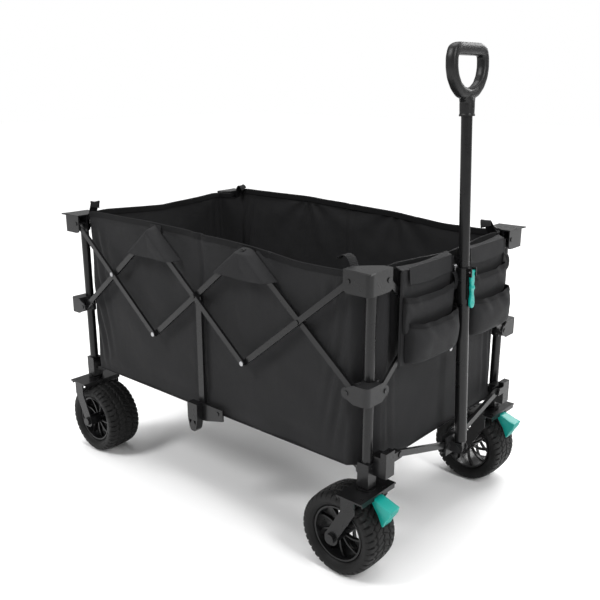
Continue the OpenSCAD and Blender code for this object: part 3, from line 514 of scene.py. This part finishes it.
def end_wall(name, end, body, seed):
    def shape(u, v):
        along, out, tx, tn = wall_path(WALL_Y, WALL_X, 2 * u - 1)
        z = FLOOR_Z + 0.0006 + v * (end_rim(along) - FLOOR_Z)
        d = end_wave(along, z, seed) * np.clip((WALL_Y - CORNER_CUT * 0.8 - np.abs(along)) / 0.02, 0, 1)
        return np.stack([MID_X + end * (out + tx * d), along - tn * d, z], 1)
    obj = cloth_grid(name, 180, 110, shape, END_CLOTH, 0.0016)
    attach(obj, body)
    return obj


def rim_tape(name, end_axis, side, body, seed):
    """Folded tape over a wall's rim."""
    long_side = end_axis == "y"
    a, b = (WALL_X, WALL_Y) if long_side else (WALL_Y, WALL_X)
    rim = side_rim if long_side else end_rim
    wave = side_wave if long_side else end_wave

    def shape(u, v):
        along, out, tx, tn = wall_path(a, b, 2 * u - 1)
        top = rim(along)
        d = wave(along, top - 0.004, seed) * np.clip((a - CORNER_CUT * 0.8 - np.abs(along)) / 0.02, 0, 1)
        drop = 0.013
        profile_s = np.array([0, 0.36, 0.44, 0.5, 0.56, 0.64, 1.0])
        profile_out = np.array([0.0010, 0.0012, 0.0010, -0.0008, -0.0026, -0.0028, -0.0026])
        profile_z = np.array([-drop, -0.001, 0.0008, 0.0014, 0.0008, -0.001, -drop])
        off = np.interp(v, profile_s, profile_out) + d
        lift = np.interp(v, profile_s, profile_z)
        x, y = along - tn * off, out + tx * off
        if long_side:
            return np.stack([MID_X + x, side * y, top + lift], 1)
        return np.stack([MID_X + side * y, x, top + lift], 1)
    columns, tape = (300, TAPE_X) if long_side else (180, TAPE_Y)
    obj = cloth_grid(name, columns, 12, shape, tape, 0.0007)
    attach(obj, body)
    return obj


def fold_piece(obj):
    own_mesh(obj)


for side, word in ((-1, "left"), (1, "right")):
    body = f"centre_{word}"
    wall = side_wall(f"wall_{word}", side, body, 11 + side)
    tape = rim_tape(f"rim_tape_{word}", "y", side, body, 11 + side)
    for piece in (wall, tape):
        fold_piece(piece)
for end, word in ((-1, "rear"), (1, "front")):
    body = f"post_{word}_left"
    wall = end_wall(f"wall_{word}", end, body, 31 + end)
    tape = rim_tape(f"rim_tape_{word}", "x", end, body, 31 + end)
    for piece in (wall, tape):
        fold_piece(piece)


# ---------------------------------------------------------------- cloth covers over the top nodes
def node_cover(name, side, node_x, body, seed):
    """A tapered cover that hangs from the rim over a top node, with a bar out of each side."""
    slope = math.tan(BAR_ANGLE)
    node_z = TOP_NODE[1]
    base = HALF_Y - 0.0004
    far = abs(BAR_OUT) + 0.0035 - base

    def shape(u, v):
        across = 2 * u - 1
        low = node_z - 0.056 - 0.003 * (1 - across ** 2) + 0.0010 * np.sin(5 * across + seed)
        z = node_z + 0.018 + (low - node_z - 0.018) * v
        half = np.maximum(node_z - z, 0) / slope + 0.0205
        x = across * half
        z = np.minimum(z, side_rim(node_x + x) - 0.003)
        top = side_rim(node_x + x) - 0.003
        bar_z = node_z - np.abs(x) * slope
        above = np.clip((z - bar_z) * math.cos(BAR_ANGLE) / 0.0135, 0, 1)
        ridge = (1 - above ** 2.5)
        sag = 0.10 * np.clip((bar_z - z) / 0.03, 0, 1) * (1 - np.abs(across))
        edge = np.clip((top - z) / 0.010, 0, 1)
        out = far * np.clip((ridge - sag) * edge, 0.03, 1) + 0.0009 * np.sin(34 * x + 20 * z + seed) * edge
        return np.stack([MID_X + node_x + x, side * (base + out), z], 1)
    obj = cloth_grid(name, 70, 60, shape, SIDE_CLOTH, 0.0014)
    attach(obj, body)
    fold_piece(obj)
    return obj


for side, word in ((-1, "left"), (1, "right")):
    for node_x, place in ((-NODE_X, "rear"), (NODE_X, "front")):
        node_cover(f"node_cover_{place}_{word}", side, node_x, f"centre_{word}", 3 + side + node_x * 10)


# ---------------------------------------------------------------- floor, in four boards round a centre disc
def squeeze_across_rib(obj):
    """Gives a quarter of the floor its own copy of its mesh."""
    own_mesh(obj)


def floor_board(name, sx, sy, body):
    """A quilted board over one quarter of the floor, open at the middle for the disc."""
    low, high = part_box("floor_mat")
    half_x, half_y = (high.x - low.x) / 2, high.y

    def shape(u, v):
        x, y = 0.002 + u * (half_x - 0.002), 0.002 + v * (half_y - 0.002)
        over = np.clip(x + y - (half_x + half_y - CORNER_CUT), 0, None)
        x, y = x - over / 2, y - over / 2
        edge = np.minimum(np.minimum(u, 1 - u) * half_x, np.minimum(v, 1 - v) * half_y)
        crown = 0.0085 - 0.0045 * np.exp(-edge / 0.006)
        quilt = 0.0012 * (np.exp(-(((x * 1000) % 118 - 59) / 3) ** 2))
        return np.stack([MID_X + sx * x, sy * y, FLOOR_Z + 0.0015 + crown - quilt], 1)
    obj = cloth_grid(name, 110, 70, shape, FLOOR_CLOTH, 0.0)
    only(obj)
    bpy.ops.object.mode_set(mode="EDIT")
    bpy.ops.mesh.select_all(action="DESELECT")
    bpy.ops.object.mode_set(mode="OBJECT")
    for face in obj.data.polygons:
        face.select = math.hypot(face.center.x - MID_X, face.center.y) < HUB_HOLE
    bpy.ops.object.mode_set(mode="EDIT")
    bpy.ops.mesh.delete(type="FACE")
    bpy.ops.object.mode_set(mode="OBJECT")
    if sx * sy < 0:
        edit_whole(bpy.ops.mesh.flip_normals)
    thicken(obj, 0.0045)
    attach(obj, body)
    squeeze_across_rib(obj)
    return obj


boards = [floor_board(f"floor_board_{ew}_{sw}", sx, sy, f"floor_rib_{ew}_{sw}")
          for sx, ew in ((1, "front"), (-1, "rear")) for sy, sw in ((-1, "left"), (1, "right"))]


def floor_cloth(name, sx, sy, body):
    """A quarter of the basket's cloth bottom, under the boards and out to the walls."""
    long_side, short_side = HALF_X - 0.0008, HALF_Y - 0.0008

    def shape(u, v):
        x = u * long_side
        y = v * np.minimum(short_side, long_side + short_side - CORNER_CUT - x)
        return np.stack([MID_X + sx * x, sy * y, np.full_like(x, FLOOR_Z + 0.0004)], 1)
    obj = cloth_grid(name, 48, 30, shape, FLOOR_CLOTH, 0.0008)
    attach(obj, body)
    squeeze_across_rib(obj)


for sx, ew in ((1, "front"), (-1, "rear")):
    for sy, sw in ((-1, "left"), (1, "right")):
        floor_cloth(f"floor_cloth_{ew}_{sw}", sx, sy, f"floor_rib_{ew}_{sw}")


circle = np.linspace(0, 2 * math.pi, 64, endpoint=False)
DISC_SECTION = ((0.053, 0.0015), (0.0545, 0.0096), (0.066, 0.0104), (0.067, 0.0112),
                (0.066, 0.0122), (0.050, 0.0126), (0.020, 0.0127))          # radius and height
disc = solid_rings("floor_disc", [[(MID_X + r * math.cos(t), r * math.sin(t), FLOOR_Z + z) for t in circle]
                                  for r, z in DISC_SECTION], FLOOR_CLOTH, 0.0002, 60)
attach(disc, "floor_hub")
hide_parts("floor_mat")
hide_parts("basket")


# ---------------------------------------------------------------- pockets on the front
POCKET_BACK = MID_X + 0.5045
PANEL_FOOT = 0.456
UPPER_POUCH = dict(z0=0.520, depth=0.0125, sag=0.007, square=7.0)
LOWER_POUCH = dict(z0=0.455, depth=0.037, sag=0.005, square=4.2)
MOUTH_TAPE = dict(material=TAPE_Y, swell=0.0013, rows=8, thick=0.0012)


def pocket_set(word, y0, y1, body, seed):
    """A back panel with a flap, a flat upper pouch and a boxed lower pouch, each pouch with a taped mouth."""
    made = []

    def back(u, v):
        y = y0 + u * (y1 - y0)
        top = 0.664 - 0.006 * np.sin(math.pi * u)
        z = PANEL_FOOT + v * (top - PANEL_FOOT)
        x = POCKET_BACK + 0.0014 * soft_noise(y, z, seed) - 0.0003
        x = np.where(v > 0.97, POCKET_BACK - (v - 0.97) / 0.03 * 0.016, x)
        return np.stack([x, y, z], 1)
    panel = cloth_grid(f"pocket_panel_{word}", 60, 70, back, END_CLOTH, 0.0014)
    made.append(panel)

    def pouch(name, ya, yb, z1, z0, depth, sag, square, material=END_CLOTH, lo=0.0, swell=0.0, rows=36, thick=0.0014):
        """A boxed pouch from height z0 to z1. lo above 0 makes only its upper part."""
        mid, half = (ya + yb) / 2, (yb - ya) / 2

        def shape(u, v):
            v = lo + (1 - lo) * v
            box_c, box_s = squared((u - 0.5) * math.pi, 2 / square)
            foot = np.clip(v / 0.22, 0, 1)
            belly = 0.86 + 0.20 * np.sin(math.pi * np.clip(v * 0.92, 0, 1))
            fill = np.sqrt(np.clip(foot * (2 - foot), 0, 1)) * belly
            lean_in = 1 - 0.16 * np.clip((v - 0.75) / 0.25, 0, 1) ** 1.5
            out = (depth * lean_in + swell) * fill * box_c
            y = mid + box_s * (half + swell * 0.5) * (1 - 0.06 * (1 - np.clip(v / 0.3, 0, 1)) ** 2)
            mouth = z1 - sag * (1 - box_s ** 2) * box_c
            z = z0 + (mouth - z0) * v + 0.006 * (1 - v) * box_s ** 4
            slack = 0.0012 + 0.0022 * np.sin(math.pi * v)
            ripple = slack * soft_noise(y, z, seed + 5, low=22, high=75) * box_c
            high_up = np.clip((v - 0.45) / 0.4, 0, 1)
            crease = 0.0016 * np.sin((y - mid) * 2 * math.pi / 0.047 + 9 * v + seed) * high_up * box_c
            return np.stack([POCKET_BACK + 0.0014 + np.maximum(out + ripple + crease, 0.0003), y, z], 1)
        return cloth_grid(name, 90, rows, shape, material, thick)

    upper = (y0 + 0.006, y1 - 0.004)
    made.append(pouch(f"upper_pouch_{word}", *upper, 0.602, **UPPER_POUCH))
    made.append(pouch(f"upper_mouth_{word}", *upper, 0.603, lo=0.85, **UPPER_POUCH, **MOUTH_TAPE))
    lower = (y0 + 0.016, y1 - 0.002)
    made.append(pouch(f"lower_pouch_{word}", *lower, 0.548, **LOWER_POUCH))
    made.append(pouch(f"lower_mouth_{word}", *lower, 0.549, lo=0.90, **LOWER_POUCH, **MOUTH_TAPE))

    def flap(u, v):                                    # hangs from the rim over the panel's top
        y = y0 + 0.020 + u * (y1 - y0 - 0.036)
        z = 0.661 - v * (0.034 + 0.004 * np.sin(math.pi * u))
        x = POCKET_BACK + 0.0042 + 0.0020 * v + 0.0012 * soft_noise(y, z, seed + 9, low=15, high=50)
        return np.stack([x, y, z], 1)
    made.append(cloth_grid(f"pocket_flap_{word}", 44, 16, flap, END_CLOTH, 0.0016))
    # side edges bound in tape
    for y, tag in ((y0, "near"), (y1, "far")):
        path = [(POCKET_BACK + 0.0004, y, z) for z in np.linspace(PANEL_FOOT, 0.655, 12)]
        made.append(sweep(f"panel_edge_{tag}_{word}", path, (0.0012, 0.0050), TAPE_Z, 8, up=(0, 1, 0)))
    # a strap loop that stands from the panel's outer edge
    loop = [(POCKET_BACK + 0.003 + 0.009 * math.sin(t), y1 + 0.003, 0.600 + 0.020 * math.cos(t))
            for t in np.linspace(0, math.pi, 14)]
    made.append(sweep(f"strap_loop_{word}", loop, (0.0007, 0.0075), TAPE_Z, 8, up=(0, 1, 0), square=4))
    for piece in made:
        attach(piece, body)
        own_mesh(piece)
    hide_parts(f"pocket_{word}")


pocket_set("left", -0.214, -0.024, "post_front_left", 51)
pocket_set("right", 0.022, 0.212, "post_front_right", 57)


# ---------------------------------------------------------------- straps at the corners
def corner_strap(name, sx, sy, body, reach, height, curl, on_end=False):
    """A webbing tab that stands up from the corner's inner side."""
    t = np.linspace(0, 1, 22)
    z = 0.655 + height * np.sin(math.pi * t * 0.75)
    bow = curl * np.sin(math.pi * t) * 0.5
    if on_end:
        x0, y0 = MID_X + sx * (HALF_X - 0.010), sy * (LUG_Y - 0.030)
        path, up = np.stack([x0 - sx * bow, y0 - sy * reach * t, z], 1), (1, 0, 0)
    else:
        x0, y0 = MID_X + sx * (LUG_X - 0.012), sy * (HALF_Y - 0.012)
        path, up = np.stack([x0 - sx * reach * t, y0 - sy * bow, z], 1), (0, 1, 0)
    obj = sweep(name, path, (0.0009, 0.0125), TAPE_X, 10, up=up, square=5)
    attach(obj, body)
    return obj


corner_strap("corner_strap_rear_left", -1, -1, "post_rear_left", 0.020, 0.048, 0.012)
corner_strap("corner_strap_rear_right", -1, 1, "post_rear_right", 0.024, 0.036, 0.014)
corner_strap("corner_strap_front_left", 1, -1, "post_front_left", 0.044, 0.030, 0.016)
corner_strap("corner_strap_front_right", 1, 1, "post_front_right", 0.046, 0.042, 0.020, True)


# ---------------------------------------------------------------- tyres
def tyre(place):
    """A grid rolled round the axle: bead, side wall, shoulder and a cut tread, closed at the bore."""
    low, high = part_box(f"tyre_{place}")
    centre = (low + high) / 2
    outer, half = (high.z - low.z) / 2, (high.y - low.y) / 2
    around, over = 432, 92
    start_clean()
    bpy.ops.mesh.primitive_grid_add(x_subdivisions=around, y_subdivisions=over, size=1, location=(0, 0, 0))
    obj = bpy.context.object
    obj.name = obj.data.name = f"tread_{place}"
    flat = np.array([v.co for v in obj.data.vertices])
    turn, s = (flat[:, 0] + 0.5) * 2 * math.pi, flat[:, 1] * 2       # s from -1 to 1 over the section
    inner = 0.0622
    # section: bead, bulged side wall, rounded shoulder, crowned tread
    knots = np.array([-1, -0.94, -0.84, -0.74, -0.66, -0.60, -0.52, -0.40, -0.20, 0])
    widths = np.array([-0.72, -0.86, -0.975, -1.0, -0.985, -0.95, -0.86, -0.66, -0.34, 0]) * half
    radii = np.concatenate([inner + np.array([0, 0.003, 0.011, 0.018, 0.0235, 0.0262, 0.0285]),
                            outer - np.array([0.0016, 0.0004, 0])])
    w = np.interp(-np.abs(s), knots, widths) * -np.sign(s)
    r = np.interp(-np.abs(s), knots, radii)
    share = np.abs(w) / half
    tread = (np.abs(s) < 0.62)
    pitch_turn = turn * 38 / (2 * math.pi)
    zig = (2 * np.abs(pitch_turn % 1 - 0.5) - 0.5) * 0.0046
    groove = np.zeros_like(r)
    for middle in (-0.0215, 0.0, 0.0215):
        groove = np.maximum(groove, np.clip(1.4 - np.abs(w - middle - zig) / 0.0017, 0, 1))
    # slanted cuts between the grooves and wide slots over the shoulder
    slant = (pitch_turn + w * 34 * np.sign(w + 1e-9)) % 1
    cuts = np.clip(1.5 - np.abs(slant - 0.5) / 0.055, 0, 1) * (np.abs(w) < 0.030) * 0.55
    lugs = np.clip(1.6 - np.abs((pitch_turn + 0.25) % 1 - 0.5) / 0.10, 0, 1) * (share > 0.66) * (np.abs(s) < 0.70)
    r = r - np.where(tread, np.maximum(groove, cuts) * 0.0034, 0) - lugs * 0.0036
    # two fine rings round the side wall
    r = r - 0.0007 * bump_at(np.abs(s), 0.80, 0.012) - 0.0006 * bump_at(np.abs(s), 0.90, 0.010)
    co = np.stack([centre.x + r * np.cos(turn), centre.y + w, centre.z + r * np.sin(turn)], 1)
    obj.data.vertices.foreach_set("co", co.astype(np.float32).ravel())
    obj.data.update()
    finish_piece(obj, RUBBER, 0.0, True, 32)
    only(obj)
    bpy.ops.object.mode_set(mode="EDIT")
    bpy.ops.mesh.select_all(action="DESELECT")
    bpy.ops.mesh.select_mode(type="EDGE")
    bpy.ops.mesh.select_non_manifold()
    bpy.ops.mesh.bridge_edge_loops()
    bpy.ops.mesh.select_all(action="SELECT")
    bpy.ops.mesh.normals_make_consistent(inside=False)
    bpy.ops.object.mode_set(mode="OBJECT")
    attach(obj, f"wheel_{place}")
    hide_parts(f"tyre_{place}")


for place in ("front_left", "front_right", "rear_left", "rear_right"):
    tyre(place)


# ---------------------------------------------------------------- pull handle's grip
def handle_grip():
    """A D-shaped loop on a flared neck, square across the wagon."""
    low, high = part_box("handle_grip")
    lean = HANDLE_LEAN
    top, top_x = high.z, low.x + 0.0122              # the leaned grip's top is further back than its foot

    def at(y, down):
        """A point on the leaned grip, down from its top."""
        return (top_x + down * math.sin(lean), y, top - down * math.cos(lean))
    half_outline = [(0.0440, 0.0125), (0.0560, 0.0165), (0.0618, 0.0280), (0.0620, 0.0480),
                    (0.0570, 0.0660), (0.0450, 0.0830), (0.0270, 0.0950), (0.0, 0.1010)]
    mirrored = [(-a, b) for a, b in reversed(half_outline[:-1])]
    outline = np.array(mirrored[-1:] + half_outline + mirrored[:-1])
    closed = np.vstack([outline, outline[:1]])
    steps = np.concatenate([[0], np.cumsum(np.linalg.norm(np.diff(closed, axis=0), axis=1))])
    fine = np.linspace(0, steps[-1], 144, endpoint=False)
    y, down = np.interp(fine, steps, closed[:, 0]), np.interp(fine, steps, closed[:, 1])
    kernel = np.hanning(9)
    kernel /= kernel.sum()
    wrap = lambda a: np.convolve(np.concatenate([a[-4:], a, a[:4]]), kernel, "valid")
    y, down = wrap(y), wrap(down)
    on_bar = np.clip((0.024 - down) / 0.009, 0, 1)
    on_bar = on_bar * on_bar * (3 - 2 * on_bar)
    width = 0.0104 + 0.0022 * on_bar + 0.0016 * np.clip((down - 0.080) / 0.015, 0, 1)
    depth = 0.0118 + 0.0004 * on_bar
    path = np.array([at(a, b) for a, b in zip(y, down)])
    rings = 22
    ahead = np.roll(path, -1, 0) - np.roll(path, 1, 0)
    ahead /= np.linalg.norm(ahead, axis=1)[:, None]
    out_x = np.array([math.cos(lean), 0, math.sin(lean)])
    plane = np.cross(ahead, out_x)
    c, s = squared(np.linspace(0, 2 * math.pi, rings, endpoint=False), 0.72)
    cloud = (path[:, None] + out_x * (depth[:, None] * c)[..., None]
             + plane[:, None] * (width[:, None] * s)[..., None])
    ring = new_piece("grip_loop", cloud.reshape(-1, 3).tolist(), ring_faces(len(path), rings, loop=True))
    finish_piece(ring, GRIP_PLASTIC, closed=True)
    # neck: a flared web under the loop that narrows to the collar
    t = np.linspace(0, 1, 40)
    neck_down = 0.094 + 0.0490 * t
    stations = [0, 0.18, 0.40, 0.46, 0.52, 0.90, 0.93, 1.0]
    collar = [0.0150, 0.0152, 0.0148, 0.0158, 0.0158]  # as wide across as deep from here down
    neck_y = np.interp(t, stations, [0.034, 0.026, 0.0162] + collar)
    neck_x = np.interp(t, stations, [0.0112, 0.0122, 0.0150] + collar)
    neck = sweep("grip_neck", [at(0, d) for d in neck_down], np.stack([neck_y, neck_x], 1), GRIP_PLASTIC, 28,
                 up=(1, 0, 0), square=2.2)
    screw_x, _, screw_z = at(0, 0.124)
    screw = round_pin("grip_screw", (screw_x + 0.0153, 0, screw_z), 0.0034, 0.0012, GRIP_PLASTIC, "x", 20)
    for piece in (ring, neck, screw):
        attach(piece, "handle_upper")
    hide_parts("handle_grip")


handle_grip()


# ---------------------------------------------------------------- moulded teal parts
PEDAL_TREAD = [(53.6, -8), (50, -21), (42, -33), (34, -49.6)]             # in mm from the pin
PEDAL_PROFILE = [(-2, 5.6), (12, 5.6), (26, 1), (38, -4), *PEDAL_TREAD, (30.4, -49.6), (21, -26), (6, -6)]


def pedal(word):
    """A chunky foot pedal on its pin, with raised bars across the tread."""
    node = f"brake_pedal_{word}"
    low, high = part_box(node)
    pin_x, mid_y, pin_z = high.x - 0.054, (low.y + high.y) / 2, high.z - 0.007

    def half_width(x, z):
        flare = 0.0020 * min(1, max(0, (x - 8) / 34))
        taper = 0.0020 * min(1, max(0, (-z - 24) / 26))
        return 0.0150 + flare - taper

    def slice_at(points, half):
        """The points' outline at one place across, half(x, z) from the middle."""
        return [(pin_x + x / 1000, mid_y + half(x, z), pin_z + z / 1000) for x, z in points]
    rings = [slice_at(PEDAL_PROFILE, lambda x, z: side * half_width(x, z)) for side in (-1, -0.35, 0.35, 1)]
    body = solid_rings(f"pedal_{word}", rings, TEAL, 0.0024)
    made = [body]
    pivot = (pin_x, mid_y, pin_z)
    made.append(round_pin(f"pedal_hub_{word}", pivot, 0.0068, 0.0276, TEAL))
    made.append(round_pin(f"pedal_pin_{word}", pivot, 0.003, 0.036, STEEL))
    for k, ((ax, az), (bx, bz)) in enumerate(zip(PEDAL_TREAD, PEDAL_TREAD[1:])):
        run = math.hypot(bx - ax, bz - az)
        along = ((bx - ax) / run, (bz - az) / run)
        out = (-along[1], along[0])
        for j, t in enumerate((0.32, 0.72)):
            x, z = ax + (bx - ax) * t, az + (bz - az) * t
            wide = half_width(x, z) - 0.0042
            section = [(x + along[0] * p + out[0] * q, z + along[1] * p + out[1] * q)
                       for p, q in ((-1.3, -0.6), (1.3, -0.6), (0.8, 0.8), (-0.8, 0.8))]
            rings = [slice_at(section, lambda x, z: side * wide) for side in (-1, 1)]
            made.append(solid_rings(f"pedal_bar_{word}_{k}_{j}", rings, TEAL, 0.0003))
    for piece in made:
        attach(piece, node)
    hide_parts(node)


def handle_latch():
    """The handle's lever: a notched blade that ends in a round bulb with an eye."""
    low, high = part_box("handle_lever")
    lean = HANDLE_LEAN
    thick, tall = 0.0055, 0.077
    outline = [(0, 0.0058), (0.003, 0.0078), (0.009, 0.0080), (0.022, 0.0076), (0.030, 0.0060),
               (0.034, 0.0082), (0.038, 0.0084), (0.043, 0.0057), (0.049, 0.0056), (0.055, 0.0078),
               (0.061, 0.0092), (0.067, 0.0095), (0.072, 0.0084), (0.0755, 0.0060), (tall, 0.0030)]
    fine = np.linspace(0, tall, 56)
    wide = np.interp(fine, *zip(*outline))             # half width at each drop from the top
    swell = np.interp(fine, [0, 0.032, 0.036, 0.040, tall], [0, 0, 0.0012, 0, 0])
    reach = (high.z - low.z) / tall
    foot_x = high.x - thick / 2 - 0.0002
    rings = []
    for d, w, s in zip(fine, wide, swell):
        x = foot_x - (tall - d) * reach * math.tan(lean)
        z = high.z - d * reach
        back, front = x - thick / 2, x + thick / 2 + s
        rings.append([(back, -w, z), (back, w, z), (front, w * 0.94, z), (front, -w * 0.94, z)])
    blade = solid_rings("latch_blade", rings, TEAL, 0.0010)
    pin_x, pin_z = foot_x - (tall - 0.0034) * reach * math.tan(lean), high.z - 0.0034
    hub = round_pin("latch_hub", (pin_x, 0, pin_z), 0.0034, 0.0160, TEAL)
    pin = round_pin("latch_pin", (pin_x, 0, pin_z), 0.0020, 0.0224, STEEL)
    start_clean()
    eye_at = (foot_x - 0.015 * math.tan(lean) + thick / 2, 0, low.z + 0.0095 * reach)
    bpy.ops.mesh.primitive_torus_add(major_radius=0.0036, minor_radius=0.0008, major_segments=32,
                                     minor_segments=10, rotation=(0, math.pi / 2, 0), location=eye_at)
    ring = bpy.context.object
    ring.name = ring.data.name = "latch_eye"
    bpy.ops.object.transform_apply(location=True, rotation=True, scale=True)
    finish_piece(ring, TEAL)
    for piece in (blade, hub, pin, ring):
        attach(piece, "handle_lever")
    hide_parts("handle_lever")


for word in ("left", "right"):
    pedal(word)
handle_latch()


# ---------------------------------------------------------------- floor, light and camera
def studio():
    """A white floor and backdrop, soft lights, and the camera."""
    start_clean()
    bpy.ops.mesh.primitive_plane_add(size=30, location=(0, 0, 0))
    ground = bpy.context.object
    ground.name = "studio_floor"
    f = Finish("studio_floor", (0.93, 0.93, 0.93), 0.85)
    f.feed("Roughness", f.noise(3.0) * 0.1 + 0.8)
    ground.data.materials.append(f.material)
    bpy.context.scene.view_settings.view_transform = "Standard"
    bpy.context.scene.view_settings.look = "None"
    world = bpy.data.worlds.new("studio")
    bpy.context.scene.world = world
    world.use_nodes = True
    tree = world.node_tree
    sky = tree.nodes["Background"]                     # lights the object; the backdrop seen is plain white
    sky.inputs[0].default_value = (1, 1, 1, 1)
    sky.inputs[1].default_value = 0.42
    seen = tree.nodes.new("ShaderNodeBackground")
    seen.inputs[0].default_value = (1, 1, 1, 1)
    path, join = tree.nodes.new("ShaderNodeLightPath"), tree.nodes.new("ShaderNodeMixShader")
    tree.links.new(path.outputs["Is Camera Ray"], join.inputs[0])
    tree.links.new(sky.outputs[0], join.inputs[1])
    tree.links.new(seen.outputs[0], join.inputs[2])
    tree.links.new(join.outputs[0], tree.nodes["World Output"].inputs[0])

    def panel(name, place, aim, size, power):
        light = bpy.data.lights.new(name, "AREA")
        light.shape, light.size, light.energy = "RECTANGLE", size[0], power
        light.size_y = size[1]
        obj = bpy.data.objects.new(name, light)
        obj.location = place
        obj.rotation_euler = (Vector(aim) - Vector(place)).to_track_quat("-Z", "Y").to_euler()
        bpy.context.collection.objects.link(obj)
    panel("key", (-1.4, -2.6, 3.2), (0, 0, 0.4), (1.1, 1.1), 85)
    panel("fill", (3.2, -0.6, 2.6), (0, 0, 0.4), (0.7, 2.0), 75)
    panel("rim", (0.5, 3.2, 2.2), (0, 0, 0.5), (2.2, 1.0), 60)

    sun = bpy.data.lights.new("sun", "SUN")
    sun.energy, sun.angle = 2.4, math.radians(55)
    above = bpy.data.objects.new("sun", sun)
    above.rotation_euler = (math.radians(-14), math.radians(-10), 0)
    bpy.context.collection.objects.link(above)

    turn, tilt, roll = math.radians(41.03), math.radians(16.09), math.radians(-0.06)
    lens = bpy.data.cameras.new("camera")
    lens.sensor_width = 36
    lens.lens = 46.51
    lens.clip_end = 60
    eye = bpy.data.objects.new("camera", lens)
    eye.location = (1.30176, -1.44358, 1.01954)
    eye.rotation_euler = (math.pi / 2 - tilt, roll, turn)
    bpy.context.collection.objects.link(eye)
    bpy.context.scene.camera = eye


studio()
